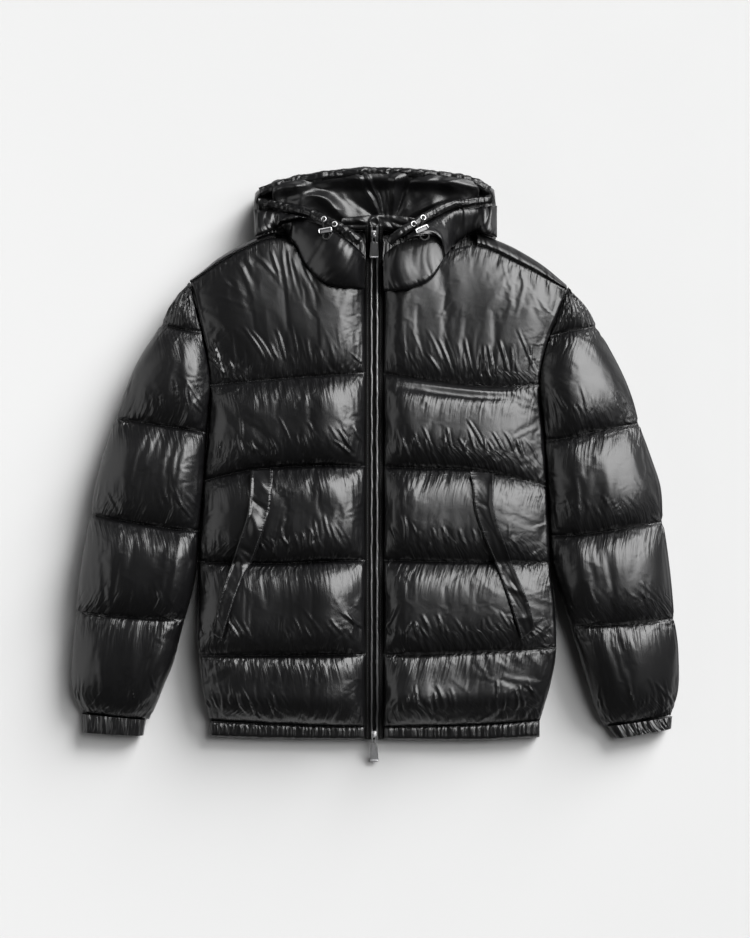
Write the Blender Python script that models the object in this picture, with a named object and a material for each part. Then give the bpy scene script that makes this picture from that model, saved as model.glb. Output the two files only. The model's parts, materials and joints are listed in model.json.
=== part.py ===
"""Hooded down jacket laid flat on its back, front up, zip closed, hood pushed down into a bowl.

Metres, +Z up, hood towards +Y, origin under the middle of the whole piece on the surface it lies on.
Right and left are the wearer's, so the right side of the jacket is at -X.
"""

import math
from collections import namedtuple

import bpy
import bmesh
from mathutils import Matrix, Vector
from mathutils.bvhtree import BVHTree

# ---------------------------------------------------------------- driving sizes

SEWN_GAP = 0.0004  # between pieces that are sewn together
LAYER_GAP = 0.0006  # from the middle plane to the layer above it and to the layer below
REST_GAP = 0.0014  # under a piece that lies on other pieces
ROWS = 5  # rows of faces in one quilted channel
PANEL_EDGE = 0.003  # thickness of a padded panel along its seams

# Side edges as (y, x), from the shoulder point down to the hem.
BODY_EDGE = {
    "right": (
        (0.2705, -0.2675), (0.230, -0.2585), (0.193, -0.249), (0.150, -0.2405), (0.119, -0.238),
        (0.054, -0.242), (-0.019, -0.248), (-0.077, -0.252), (-0.135, -0.255), (-0.193, -0.257),
        (-0.250, -0.258), (-0.273, -0.2555), (-0.323, -0.252), (-0.369, -0.2425),
    ),
    "left": (
        (0.2625, 0.2785), (0.219, 0.265), (0.193, 0.253), (0.151, 0.241), (0.119, 0.237),
        (0.054, 0.2435), (-0.019, 0.249), (-0.077, 0.252), (-0.138, 0.254), (-0.196, 0.261),
        (-0.262, 0.263), (-0.300, 0.259), (-0.338, 0.250), (-0.370, 0.241),
    ),
}
SLEEVE_EDGE = {
    "right": (
        (0.263, -0.273), (0.242, -0.291), (0.210, -0.3095), (0.155, -0.3435), (0.120, -0.359),
        (0.071, -0.377), (0.016, -0.395), (-0.036, -0.408), (-0.069, -0.414), (-0.106, -0.4205),
        (-0.158, -0.429), (-0.210, -0.435), (-0.262, -0.440), (-0.323, -0.4425), (-0.3595, -0.431),
    ),
    "left": (
        (0.257, 0.283), (0.231, 0.306), (0.202, 0.3235), (0.139, 0.357), (0.100, 0.373),
        (0.0625, 0.385), (0.010, 0.402), (-0.030, 0.4145), (-0.0795, 0.4195), (-0.141, 0.427),
        (-0.220, 0.436), (-0.262, 0.441), (-0.323, 0.4425), (-0.3625, 0.4355),
    ),
}
# How far the sleeve's inner edge lies from the body, as (y, distance).
SLEEVE_CLEARANCE = (
    (0.267, 0.0026), (0.120, 0.0026), (0.060, 0.0014), (-0.110, 0.0014), (-0.164, 0.006), (-0.196, 0.0118),
    (-0.220, 0.0178), (-0.280, 0.037), (-0.320, 0.056), (-0.352, 0.075), (-0.378, 0.095),
)

# A quilting seam: y at five even places across the panel, then the height of the middle plane,
# of the stitched seam above it, and of the crest of the channel between this seam and the next.
Seam = namedtuple("Seam", "y0 y1 y2 y3 y4 middle valley crest")

# From the zip edge to the side edge, hem first.
FRONT_SEAMS = {
    "right": (
        Seam(-0.3775, -0.3762, -0.3738, -0.3712, -0.3685, 0.011, 0.010, 0.038),
        Seam(-0.2705, -0.2710, -0.2715, -0.2720, -0.2720, 0.033, 0.013, 0.046),
        Seam(-0.1345, -0.1360, -0.1390, -0.1385, -0.1370, 0.034, 0.013, 0.047),
        Seam(0.0010, 0.0020, 0.0000, -0.0060, -0.0200, 0.034, 0.013, 0.046),
        Seam(0.1360, 0.1320, 0.1280, 0.1230, 0.1180, 0.034, 0.014, 0.036),
        Seam(0.2960, 0.3030, 0.3305, 0.3070, 0.2665, 0.033, 0.018, 0.0),
    ),
    "left": (
        Seam(-0.3775, -0.3765, -0.3755, -0.3730, -0.3690, 0.011, 0.010, 0.038),
        Seam(-0.2715, -0.2705, -0.2680, -0.2655, -0.2630, 0.033, 0.013, 0.046),
        Seam(-0.1345, -0.1360, -0.1370, -0.1375, -0.1390, 0.034, 0.013, 0.047),
        Seam(0.0000, -0.0015, -0.0035, -0.0130, -0.0280, 0.034, 0.013, 0.046),
        Seam(0.1350, 0.1260, 0.1180, 0.1145, 0.1185, 0.034, 0.014, 0.037),
        Seam(0.2960, 0.3030, 0.3195, 0.2925, 0.2560, 0.033, 0.018, 0.0),
    ),
}
# From the inner edge to the outer edge, cuff first.
SLEEVE_SEAMS = {
    "right": (
        Seam(-0.3680, -0.3662, -0.3642, -0.3615, -0.3590, 0.011, 0.009, 0.036),
        Seam(-0.2200, -0.2190, -0.2170, -0.2140, -0.2100, 0.031, 0.013, 0.043),
        Seam(-0.0930, -0.0890, -0.0830, -0.0760, -0.0690, 0.033, 0.013, 0.043),
        Seam(0.0490, 0.0550, 0.0600, 0.0650, 0.0710, 0.034, 0.013, 0.041),
        Seam(0.1950, 0.1960, 0.1985, 0.2025, 0.2070, 0.034, 0.014, 0.031),
        Seam(0.2560, 0.2580, 0.2600, 0.2615, 0.2630, 0.033, 0.014, 0.0),
    ),
    "left": (
        Seam(-0.3770, -0.3745, -0.3705, -0.3665, -0.3625, 0.011, 0.009, 0.036),
        Seam(-0.2310, -0.2290, -0.2270, -0.2240, -0.2200, 0.031, 0.013, 0.043),
        Seam(-0.1000, -0.0980, -0.0930, -0.0860, -0.0795, 0.033, 0.013, 0.043),
        Seam(0.0380, 0.0420, 0.0500, 0.0570, 0.0625, 0.034, 0.013, 0.041),
        Seam(0.1890, 0.1930, 0.1970, 0.2000, 0.2030, 0.034, 0.014, 0.031),
        Seam(0.2495, 0.2515, 0.2535, 0.2550, 0.2565, 0.033, 0.014, 0.0),
    ),
}
# The back's upper edge as (x, y): one shoulder, the back neck, the other shoulder.
BACK_TOP = (
    (-0.2680, 0.2695), (-0.2465, 0.2860), (-0.2255, 0.3030), (-0.1780, 0.3285), (-0.1435, 0.3385),
    (0.0, 0.3410), (0.1455, 0.3385), (0.1785, 0.3275), (0.2065, 0.3145), (0.2445, 0.2910),
    (0.2790, 0.2620),
)
# A soft fold on a panel: its middle, direction, length, half width and height (negative: trough).
Fold = namedtuple("Fold", "x y degrees length width height")
FRONT_FOLDS = {
    "right": (
        Fold(-0.215, 0.195, 100, 0.110, 0.010, 0.004), Fold(-0.165, 0.210, 96, 0.120, 0.011, -0.004),
        Fold(-0.120, 0.200, 84, 0.110, 0.010, 0.004), Fold(-0.045, 0.190, 75, 0.090, 0.010, -0.003),
        Fold(-0.090, 0.080, 70, 0.080, 0.010, -0.003), Fold(-0.150, -0.210, 105, 0.080, 0.011, 0.003),
    ),
    "left": (
        Fold(0.195, 0.215, 68, 0.120, 0.011, 0.004), Fold(0.160, 0.205, 64, 0.130, 0.011, -0.004),
        Fold(0.120, 0.195, 60, 0.120, 0.011, 0.004), Fold(0.050, 0.190, 110, 0.090, 0.010, -0.003),
        Fold(0.210, 0.060, 80, 0.080, 0.010, -0.003), Fold(0.130, -0.215, 95, 0.070, 0.011, 0.003),
    ),
}
SLEEVE_FOLDS = {
    "right": (
        Fold(-0.275, 0.130, 75, 0.090, 0.010, 0.004), Fold(-0.310, -0.010, 85, 0.100, 0.011, -0.004),
        Fold(-0.360, -0.300, 95, 0.090, 0.011, 0.004),
    ),
    "left": (
        Fold(0.275, 0.125, 105, 0.090, 0.010, 0.004), Fold(0.320, -0.030, 95, 0.100, 0.011, -0.004),
        Fold(0.365, -0.305, 85, 0.090, 0.011, 0.004),
    ),
}

# Zip: the strip between the fronts, the height of its tapes as (y, z), and its hardware.
ZIP_EDGE = {"right": -0.0140, "left": 0.0118}
ZIP_MIDDLE = -0.0014
ZIP_HEIGHT = (
    (-0.3980, 0.0165), (-0.3765, 0.0185), (-0.335, 0.0320), (-0.270, 0.0440), (0.0, 0.0460),
    (0.240, 0.0460), (0.285, 0.0470), (0.3035, 0.0505), (0.318, 0.0650), (0.331, 0.0820),
    (0.3425, 0.0915),
)
TAPE_THICKNESS = 0.0016
PIPING = {"right": (-0.0072, 0.0011), "left": (0.0045, 0.0014)}  # x of its middle, radius
SLIDER_TOP_Y = 0.3345
SLIDER_BOTTOM_Y = -0.3893
SLIDER_LENGTH = 0.0090
SLIDER_WIDTH = 0.0078
SLIDER_HEIGHT = 0.0034
BRIDGE_LENGTH = 0.0080
BRIDGE_HEIGHT = 0.0056
BRIDGE_WIDTH = 0.0020
BRIDGE_WALL = 0.0014
SLIDER_RISE = 0.0003  # of the slider's body above the tapes
PULL_NECK = 0.0150
PULL_BODY = 0.0300
PULL_NECK_WIDTH = 0.0060
PULL_HOLE_WIDTH = 0.0032
PULL_WIDTH_NEAR = 0.0098
PULL_WIDTH_FAR = 0.0132
PULL_THICKNESS = 0.0018
PULL_BAR = 0.0014
PULL_LIP = 0.0024
PULL_PLAY = 0.0005  # between the pull's bar and the bridge
PULL_SLOPE = {"top": 51.0, "bottom": 25.0}  # degrees below level at rest

# Hem and cuffs: bands of gathered cloth over elastic.
HEM_BOTTOM = (
    (-0.2390, -0.3935), (-0.150, -0.3965), (-0.0140, -0.3975), (0.0118, -0.3975), (0.150, -0.3985),
    (0.2370, -0.3940),
)
HEM_MIDDLE = 0.011
HEM_TOP = 0.0235
HEM_GATHERS = 19  # on each front
# (Share of the band's width, share of its thickness) over its upper side, then its lower side.
HEM_OVER = (
    ((0.0, 0.62), (0.14, 0.90), (0.50, 1.0), (0.86, 0.86), (1.0, 0.40)),
    ((0.0, 0.0), (1.0, 0.0)),
)
HEM_UNDER = (
    ((0.0, 1.0), (1.0, 1.0)),
    ((0.0, 0.0), (0.10, 0.0), (0.88, 0.0), (1.0, 0.22)),
)
CUFF_LINES = {  # inner and outer end of the upper line, then of the lower line
    "right": ((-0.3345, -0.3687), (-0.4285, -0.3598), (-0.3385, -0.3920), (-0.4270, -0.3870)),
    "left": ((0.3385, -0.3786), (0.4345, -0.3641), (0.3510, -0.3960), (0.4330, -0.3815)),
}
CUFF_GATHERS = 12
CUFF_HEIGHT = 0.0235
CUFF_FOLD = 0.0105  # height of the cuff's two folded edges
CUFF_SLIT = (0.0098, 0.0128)  # lower and upper wall of the hand's way through

# Hood.
HOOD_EDGE = {
    "right": ((0.3290, -0.1730), (0.3550, -0.1750), (0.3760, -0.1765), (0.3990, -0.1740)),
    "left": ((0.3290, 0.1755), (0.3520, 0.1775), (0.3730, 0.1765), (0.4030, 0.1735)),
}
HOOD_ARC = (
    (-0.1745, 0.3980), (-0.1600, 0.4065), (-0.1410, 0.4135), (-0.1190, 0.4190), (-0.0770, 0.4260),
    (-0.0460, 0.4300), (0.0, 0.4318), (0.0540, 0.4300), (0.1090, 0.4250), (0.1490, 0.4160),
    (0.1740, 0.4020),
)
BOWL_FLOOR = 0.033
BOWL_RISE = 0.020
LINING_REACH = (-0.1480, 0.1500)  # in x
LINING_FOLDS = (  # place across the bowl (0 to 1), half width, height at the rim
    (0.16, 0.045, 0.005), (0.30, 0.050, 0.008), (0.44, 0.040, -0.003), (0.53, 0.030, 0.006),
    (0.66, 0.045, 0.008), (0.78, 0.035, -0.003), (0.88, 0.040, 0.005),
)
CASING_WIDTH = 0.0140
CASING_DEPTH = 0.0115
CASING_SIDES = 6
CASING_TOP_GATHERS = 30
CASING_SIDE_GATHERS = 10
CASING_TOP_PATH = (
    (-0.1650, 0.3960, 0.0570), (-0.1410, 0.4050, 0.0600), (-0.1130, 0.4120, 0.0630),
    (-0.0770, 0.4178, 0.0650), (-0.0400, 0.4222, 0.0660), (0.0, 0.4240, 0.0660),
    (0.0540, 0.4220, 0.0660), (0.1090, 0.4165, 0.0635), (0.1450, 0.4085, 0.0600),
    (0.1645, 0.3985, 0.0570),
)
CASING_SIDE_PATH = {
    "right": (
        (-0.1675, 0.3830, 0.0500), (-0.1460, 0.3785, 0.0545), (-0.1210, 0.3720, 0.0600),
        (-0.0960, 0.3650, 0.0690), (-0.0720, 0.3530, 0.0800), (-0.0590, 0.3462, 0.0860),
        (-0.0420, 0.3360, 0.0890), (-0.0290, 0.3270, 0.0880), (-0.0220, 0.3205, 0.0850),
    ),
    "left": (
        (0.1675, 0.3870, 0.0500), (0.1360, 0.3815, 0.0560), (0.1120, 0.3780, 0.0620),
        (0.0910, 0.3685, 0.0700), (0.0680, 0.3548, 0.0815), (0.0560, 0.3462, 0.0865),
        (0.0390, 0.3355, 0.0890), (0.0265, 0.3265, 0.0880), (0.0200, 0.3205, 0.0850),
    ),
}
CHIN = {  # lower and upper outline as (x, y), then the upper outline's height where it is free
    "right": (
        ((-0.1370, 0.3470), (-0.1260, 0.3340), (-0.1120, 0.3160), (-0.1030, 0.2960),
         (-0.0880, 0.2770), (-0.0720, 0.2640), (-0.0490, 0.2570), (-0.0148, 0.2565)),
        ((-0.1355, 0.3500, 0.0560), (-0.1110, 0.3550, 0.0590), (-0.0920, 0.3530, 0.0650),
         (-0.0755, 0.3460, 0.0722), (-0.0625, 0.3394, 0.0782), (-0.0462, 0.3290, 0.0812),
         (-0.0300, 0.3170, 0.0780), (-0.0148, 0.3040, 0.0620)),
    ),
    "left": (
        ((0.1000, 0.3000), (0.0900, 0.2810), (0.0790, 0.2680), (0.0540, 0.2560), (0.0340, 0.2530),
         (0.0126, 0.2525)),
        ((0.0960, 0.3180, 0.0640), (0.0850, 0.3290, 0.0680), (0.0640, 0.3260, 0.0740),
         (0.0430, 0.3215, 0.0770), (0.0270, 0.3150, 0.0740), (0.0126, 0.3040, 0.0620)),
    ),
}
HOOD_SIDE = {
    "right": (
        ((-0.1730, 0.3315), (-0.1580, 0.3370), (-0.1420, 0.3445), (-0.1350, 0.3516), (-0.1110, 0.3566),
         (-0.0990, 0.3556)),
        ((-0.1755, 0.3735, 0.0420), (-0.1475, 0.3703, 0.0467), (-0.1235, 0.3643, 0.0522),
         (-0.1075, 0.3600, 0.0570), (-0.0985, 0.3573, 0.0600)),
    ),
    "left": (
        ((0.1760, 0.3315), (0.1640, 0.3350), (0.1410, 0.3392), (0.1260, 0.3300), (0.1090, 0.3150),
         (0.1005, 0.3040), (0.0970, 0.3205), (0.0855, 0.3305), (0.0640, 0.3275), (0.0430, 0.3230)),
        ((0.1765, 0.3780, 0.0420), (0.1373, 0.3738, 0.0482), (0.1155, 0.3707, 0.0542),
         (0.0945, 0.3617, 0.0620), (0.0820, 0.3540, 0.0690), (0.0718, 0.3480, 0.0735),
         (0.0600, 0.3395, 0.0785), (0.0430, 0.3285, 0.0812)),
    ),
}
FACING = ((-0.0480, 0.0620), (0.3440, 0.3640))  # span in x, then in y

# Shoulder strips: where they start across the front, and (share of their width, height).
YOKE_START = 0.515
YOKE_PROFILE = (
    (0.0, 0.0485), (0.12, 0.0535), (0.4, 0.0570), (0.7, 0.0530), (0.92, 0.0430), (1.0, 0.0365),
)

# Pocket welts: (share of their width, height), then inner and outer edge as (x, y), top down.
WELT_PROFILE = (
    (0.0, 0.0012), (0.1, 0.0038), (0.35, 0.0060), (0.7, 0.0062), (0.92, 0.0042), (1.0, 0.0014),
)
WELT = {
    "right": (
        ((-0.1460, -0.0230), (-0.1510, -0.0640), (-0.1720, -0.1270), (-0.1900, -0.1600),
         (-0.2140, -0.2300), (-0.2190, -0.2490)),
        ((-0.1800, -0.0430), (-0.1810, -0.0700), (-0.2010, -0.1250), (-0.2110, -0.1530),
         (-0.2240, -0.1950), (-0.2330, -0.2380)),
    ),
    "left": (
        ((0.1390, -0.0270), (0.1440, -0.0640), (0.1600, -0.1100), (0.1730, -0.1380),
         (0.1870, -0.1760), (0.2100, -0.2470)),
        ((0.1720, -0.0160), (0.1680, -0.0600), (0.1930, -0.1290), (0.2040, -0.1560),
         (0.2200, -0.1950), (0.2300, -0.2330)),
    ),
}

# Drawcord: out of one eyelet, through the lock, round in a loop, and back to the other eyelet.
EYELETS = {"right": (0.640, 0.744), "left": (0.751, 0.657)}  # shares of the casing's length
EYELET_RING = 0.0034
EYELET_WIRE = 0.0007
LOCK_PLACE = {  # middle, then degrees: its turn, its tilt along its length, and its roll
    "right": ((-0.0700, 0.3363, 0.0890), 9.0, 14.0, -17.0),
    "left": ((0.0660, 0.3385, 0.0900), 25.5, -16.0, 0.0),
}
LOCK_SIZE = (0.0165, 0.0072, 0.0052)
LOCK_CORNER = 0.0012
LOCK_HOLE = 0.0018
LOCK_HOLE_OFFSET = 0.0036
BAR_RADIUS = 0.0008
BAR_LENGTH = 0.0185
BAR_HOOK = 0.0045
CORD_RADIUS = 0.00125
CORD_ROUTE = {
    "right": (
        (-0.0730, 0.3550, 0.0870), (-0.0737, 0.3537, 0.0885), (-0.0743, 0.3517, 0.0897),
        (-0.0746, 0.3493, 0.0900), (-0.0745, 0.3467, 0.0895), (-0.0742, 0.3438, 0.0883),
        (-0.0740, 0.3412, 0.0873), (-0.0738, 0.3392, 0.0872), (-0.0735, 0.3358, 0.0881),
        (-0.0731, 0.3317, 0.0893), (-0.0742, 0.3296, 0.0896), (-0.0742, 0.3272, 0.0902),
        (-0.0732, 0.3252, 0.0911), (-0.0713, 0.3239, 0.0920), (-0.0690, 0.3237, 0.0927),
        (-0.0667, 0.3246, 0.0931), (-0.0651, 0.3265, 0.0931), (-0.0644, 0.3288, 0.0927),
        (-0.0648, 0.3311, 0.0920), (-0.0662, 0.3328, 0.0911), (-0.0665, 0.3368, 0.0899),
        (-0.0668, 0.3402, 0.0889), (-0.0667, 0.3419, 0.0892), (-0.0656, 0.3431, 0.0910),
        (-0.0638, 0.3440, 0.0935), (-0.0618, 0.3447, 0.0952), (-0.0597, 0.3452, 0.0957),
        (-0.0578, 0.3456, 0.0951), (-0.0563, 0.3459, 0.0939),
    ),
    "left": (
        (0.0541, 0.3464, 0.0941), (0.0557, 0.3458, 0.0953), (0.0575, 0.3449, 0.0960),
        (0.0589, 0.3440, 0.0954), (0.0598, 0.3432, 0.0940), (0.0604, 0.3423, 0.0924),
        (0.0611, 0.3408, 0.0911), (0.0620, 0.3389, 0.0910), (0.0629, 0.3370, 0.0910),
        (0.0647, 0.3332, 0.0910), (0.0638, 0.3300, 0.0916), (0.0645, 0.3267, 0.0918),
        (0.0667, 0.3241, 0.0916), (0.0699, 0.3230, 0.0909), (0.0731, 0.3236, 0.0900),
        (0.0756, 0.3257, 0.0891), (0.0767, 0.3289, 0.0884), (0.0761, 0.3322, 0.0882),
        (0.0740, 0.3349, 0.0884), (0.0709, 0.3362, 0.0890), (0.0691, 0.3400, 0.0890),
        (0.0676, 0.3434, 0.0890), (0.0672, 0.3456, 0.0898), (0.0677, 0.3483, 0.0910),
        (0.0684, 0.3509, 0.0917), (0.0689, 0.3532, 0.0914), (0.0691, 0.3552, 0.0902),
        (0.0689, 0.3567, 0.0885),
    ),
}

COLOURS = {
    "shell": ((0.012, 0.012, 0.013), 0.28, 0.0),
    "lining": ((0.014, 0.014, 0.015), 0.35, 0.0),
    "tape": ((0.010, 0.010, 0.010), 0.60, 0.0),
    "piping": ((0.020, 0.020, 0.021), 0.25, 0.0),
    "metal": ((0.28, 0.28, 0.29), 0.32, 1.0),
    "bright_metal": ((0.75, 0.75, 0.76), 0.20, 1.0),
    "lock": ((0.090, 0.090, 0.092), 0.40, 0.0),
    "cord": ((0.015, 0.015, 0.015), 0.70, 0.0),
}


# ---------------------------------------------------------------- small tools

for old in list(bpy.data.objects):
    bpy.data.objects.remove(old, do_unlink=True)

jacket = bpy.data.collections.new("puffer_jacket")
bpy.context.scene.collection.children.link(jacket)
cutters = bpy.data.collections.new("cutters")
bpy.context.scene.collection.children.link(cutters)

surfaces = {}  # piece name -> tree of its faces, for pieces that others lie on


def make_materials():
    made = {}
    for name, (colour, roughness, metallic) in COLOURS.items():
        material = bpy.data.materials.new(name)
        material.use_nodes = True
        shader = material.node_tree.nodes["Principled BSDF"]
        shader.inputs["Base Color"].default_value = (*colour, 1.0)
        shader.inputs["Roughness"].default_value = roughness
        shader.inputs["Metallic"].default_value = metallic
        made[name] = material
    return made


materials = make_materials()


def mix(a, b, t):
    return a + (b - a) * t


def curve_at(table, key):
    """Smooth value at key, through a table of (key, value) pairs in rising or falling order."""
    points = sorted(table)
    if key <= points[0][0]:
        return points[0][1]
    if key >= points[-1][0]:
        return points[-1][1]
    last = len(points) - 1

    def slope(i):
        before = points[max(i - 1, 0)]
        after = points[min(i + 1, last)]
        return (after[1] - before[1]) / (after[0] - before[0])

    for i in range(last):
        (k0, v0), (k1, v1) = points[i], points[i + 1]
        if key <= k1:
            span = k1 - k0
            t = (key - k0) / span
            start = (2 * t**3 - 3 * t**2 + 1) * v0 + (t**3 - 2 * t**2 + t) * span * slope(i)
            end = (3 * t**2 - 2 * t**3) * v1 + (t**3 - t**2) * span * slope(i + 1)
            return start + end


def path_at(points, t):
    """Point at the share t of the length of a smooth path through the given points."""
    vectors = [Vector(p) for p in points]
    lengths = [0.0]
    for a, b in zip(vectors, vectors[1:]):
        lengths.append(lengths[-1] + (b - a).length)
    along = t * lengths[-1]
    axes = range(len(vectors[0]))
    return Vector([curve_at([(s, v[i]) for s, v in zip(lengths, vectors)], along) for i in axes])


def even(count):
    return [i / (count - 1) for i in range(count)]


def crowded(count):
    """Places from 0 to 1 that stand closer together towards both ends."""
    return [(1 - math.cos(math.pi * t)) / 2 for t in even(count)]


def round_in(distance, radius):
    """Rises from 0 at an edge to 1 at the radius, as a quarter of an ellipse."""
    t = min(1.0, max(0.0, distance / radius))
    return math.sqrt(1 - (1 - t) ** 2)


def puff(v, power=2.3):
    """Height across a quilted channel, from 0 at one seam through 1 to 0 at the next."""
    return math.sqrt(max(0.0, 1 - abs(2 * v - 1) ** power))


def fold_height(folds, x, y):
    total = 0.0
    for fold in folds:
        angle = math.radians(fold.degrees)
        dx, dy = x - fold.x, y - fold.y
        along = dx * math.cos(angle) + dy * math.sin(angle)
        across = dy * math.cos(angle) - dx * math.sin(angle)
        reach = max(0.0, 1 - (2 * along / fold.length) ** 2)
        total += fold.height * reach * math.exp(-((across / fold.width) ** 2))
    return total


def build(name, material, vertices, faces):
    """One closed solid from vertices and faces, with its faces turned outwards."""
    mesh = bpy.data.meshes.new(name)
    mesh.from_pydata([tuple(v) for v in vertices], [], faces)
    work = bmesh.new()
    work.from_mesh(mesh)
    bmesh.ops.recalc_face_normals(work, faces=work.faces)
    surfaces[name] = BVHTree.FromBMesh(work)
    work.to_mesh(mesh)
    work.free()
    mesh.materials.append(materials[material])
    mesh.shade_smooth()
    mesh.set_sharp_from_angle(angle=math.radians(50))
    piece = bpy.data.objects.new(name, mesh)
    jacket.objects.link(piece)
    return piece


def stitch(vertices, a, b):
    """Triangles that join two rows of vertices that run the same way."""
    def places(row):
        lengths = [0.0]
        for i, j in zip(row, row[1:]):
            lengths.append(lengths[-1] + (vertices[j] - vertices[i]).length)
        return [s / lengths[-1] for s in lengths]

    at, bt = places(a), places(b)
    i = j = 0
    faces = []
    while i < len(a) - 1 or j < len(b) - 1:
        step_a = j == len(b) - 1 or (i < len(a) - 1 and at[i + 1] <= bt[j + 1])
        if step_a:
            faces.append((a[i], a[i + 1], b[j]))
            i += 1
        else:
            faces.append((a[i], b[j + 1], b[j]))
            j += 1
    return faces


def loft(name, material, tops, unders, start=(), end=()):
    """A padded piece: rows of points over its top and its underside, joined round the edges.

    start and end hold rows between the first, or last, top row and the underside row below it.
    """
    vertices = []

    def add(row):
        first = len(vertices)
        vertices.extend(Vector(p) for p in row)
        return list(range(first, len(vertices)))

    top = [add(row) for row in tops]
    under = [add(row) for row in unders]
    faces = []
    for rows in (top, under):
        for a, b in zip(rows, rows[1:]):
            faces += [(a[i], a[i + 1], b[i + 1], b[i]) for i in range(len(a) - 1)]
    for side in (0, -1):
        for i in range(len(top) - 1):
            faces.append((top[i][side], top[i + 1][side], under[i + 1][side], under[i][side]))
    for between, which in ((start, 0), (end, -1)):
        rows = [top[which]] + [add(row) for row in between] + [under[which]]
        for a, b in zip(rows, rows[1:]):
            faces += stitch(vertices, a, b)
        if between:
            for side in (0, -1):
                faces.append(tuple(row[side] for row in rows))
    return build(name, material, vertices, faces)


def resting_height(x, y, names, reach=0.005):
    """Highest point of the named pieces near x, y, or 0 on the bare surface."""
    highest = 0.0
    for dx, dy in ((0, 0), (reach, 0), (-reach, 0), (0, reach), (0, -reach)):
        for name in names:
            hit = surfaces[name].ray_cast(Vector((x + dx, y + dy, 1.0)), Vector((0, 0, -1)))[0]
            if hit is not None:
                highest = max(highest, hit.z)
    return highest


# ---------------------------------------------------------------- quilted panels

def seam_y(seam, u):
    return curve_at([(i / 4, y) for i, y in enumerate(seam[:5])], u)


def channel_rows(seams):
    """For each row of a quilted panel: its seam below and above, and its place between them."""
    rows = []
    for below, above in zip(seams, seams[1:]):
        places = crowded(ROWS + 1)
        rows += [(below, above, v) for v in places[:-1]]
    rows.append((seams[-2], seams[-1], 1.0))
    return rows


def row_y(row, u):
    below, above, v = row
    return mix(seam_y(below, u), seam_y(above, u), v)


def row_middle(row):
    below, above, v = row
    return mix(below.middle, above.middle, v)


def row_height(row):
    below, above, v = row
    valley = mix(below.valley, above.valley, v)
    return valley + (below.crest - valley) * puff(v)


def body_x(side, y):
    return curve_at(BODY_EDGE[side], y)


def front_edges(side, row):
    return ZIP_EDGE[side], body_x(side, row_y(row, 1.0))


def sleeve_edges(side, row):
    outward = -1 if side == "right" else 1
    inner_y = row_y(row, 0.0)
    inner = body_x(side, inner_y) + outward * curve_at(SLEEVE_CLEARANCE, inner_y)
    return inner, curve_at(SLEEVE_EDGE[side], row_y(row, 1.0))


def quilted_top(seams, edges, columns, start_edge, folds):
    """Rows of the raised outer side; start_edge is the radius and height of the first edge."""
    rows = []
    for row in channel_rows(seams):
        x0, x1 = edges(row)
        middle, height = row_middle(row) + LAYER_GAP, row_height(row)
        radius, first = start_edge
        points = []
        for u in crowded(columns):
            x, y = mix(x0, x1, u), row_y(row, u)
            width = abs(x1 - x0)
            near = round_in(u * width, min(radius, width / 2))
            far = round_in((1 - u) * width, min(0.030, width / 2))
            low = mix(first, PANEL_EDGE, u)
            lift = low + (max(height, low) - low) * near * far
            fold = fold_height(folds, x, y) * near * far * puff(row[2])
            points.append((x, y, middle + lift + fold))
        rows.append(points)
    return rows


def plain_rows(seams, edges, columns, offset):
    """Rows of a plain side that lies in the middle plane, moved by offset."""
    rows = []
    for row in channel_rows(seams):
        x0, x1 = edges(row)
        rows.append([(mix(x0, x1, u), row_y(row, u), row_middle(row) + offset) for u in even(columns)])
    return rows


def inset_places(width, radius):
    """Places across a panel, gathered in the rounded strips along its two edges."""
    near = [radius * share / width for share in (0.0, 0.10, 0.42, 1.0)]
    return near + [0.5] + [1 - u for u in reversed(near)]


def resting_z(distance, edge_height, radius, v):
    """Height of an underside that lies flat, turns up at its edges and is nipped at its seams."""
    turned = edge_height * (1 - round_in(distance, radius))
    nip = 0.006 * max(0.0, 1 - min(v, 1 - v) / 0.05)
    return max(turned, nip)


# ---------------------------------------------------------------- body panels

def make_fronts():
    for side in ("right", "left"):
        seams = FRONT_SEAMS[side]
        edges = lambda row, side=side: front_edges(side, row)
        tops = quilted_top(seams, edges, 16, (0.016, 0.010), FRONT_FOLDS[side])
        unders = plain_rows(seams, edges, 5, LAYER_GAP)
        loft(f"front_{side}", "shell", tops, unders)


def back_row_y(index, x):
    """y of the back's row at x: it follows the fronts' seams, and its last channel the back neck."""
    side = "right" if x < 0 else "left"
    row = channel_rows(FRONT_SEAMS[side])[index]
    x0, x1 = front_edges(side, row)
    u = min(1.0, max(0.0, (x - x0) / (x1 - x0)))
    if row[0] is FRONT_SEAMS[side][-2]:
        return mix(seam_y(row[0], u), curve_at(BACK_TOP, x), row[2])
    return row_y(row, u)


def back_point(index, u):
    """Plan position at the share u across a row of the back, from the right edge to the left."""
    x_right, x_left = -0.25, 0.25
    for _ in range(3):
        x_right = body_x("right", back_row_y(index, x_right))
        x_left = body_x("left", back_row_y(index, x_left))
    x = mix(x_right, x_left, u)
    return x, back_row_y(index, x), x_left - x_right


def make_back():
    rows = channel_rows(FRONT_SEAMS["right"])
    tops, unders = [], []
    for index, row in enumerate(rows):
        top_z = row_middle(row) - LAYER_GAP
        tops.append([(*back_point(index, u)[:2], top_z) for u in even(7)])
        width = back_point(index, 0.5)[2]
        under = []
        for u in inset_places(width, 0.028):
            x, y, _ = back_point(index, u)
            z = resting_z(min(u, 1 - u) * width, top_z - PANEL_EDGE, 0.028, row[2])
            if row[0] is FRONT_SEAMS["right"][-2]:
                z = max(z, 0.018 * (1 - round_in((1 - row[2]) * 0.16, 0.025)))
            under.append((x, y, z))
        unders.append(under)
    loft("back", "shell", tops, unders)


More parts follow.
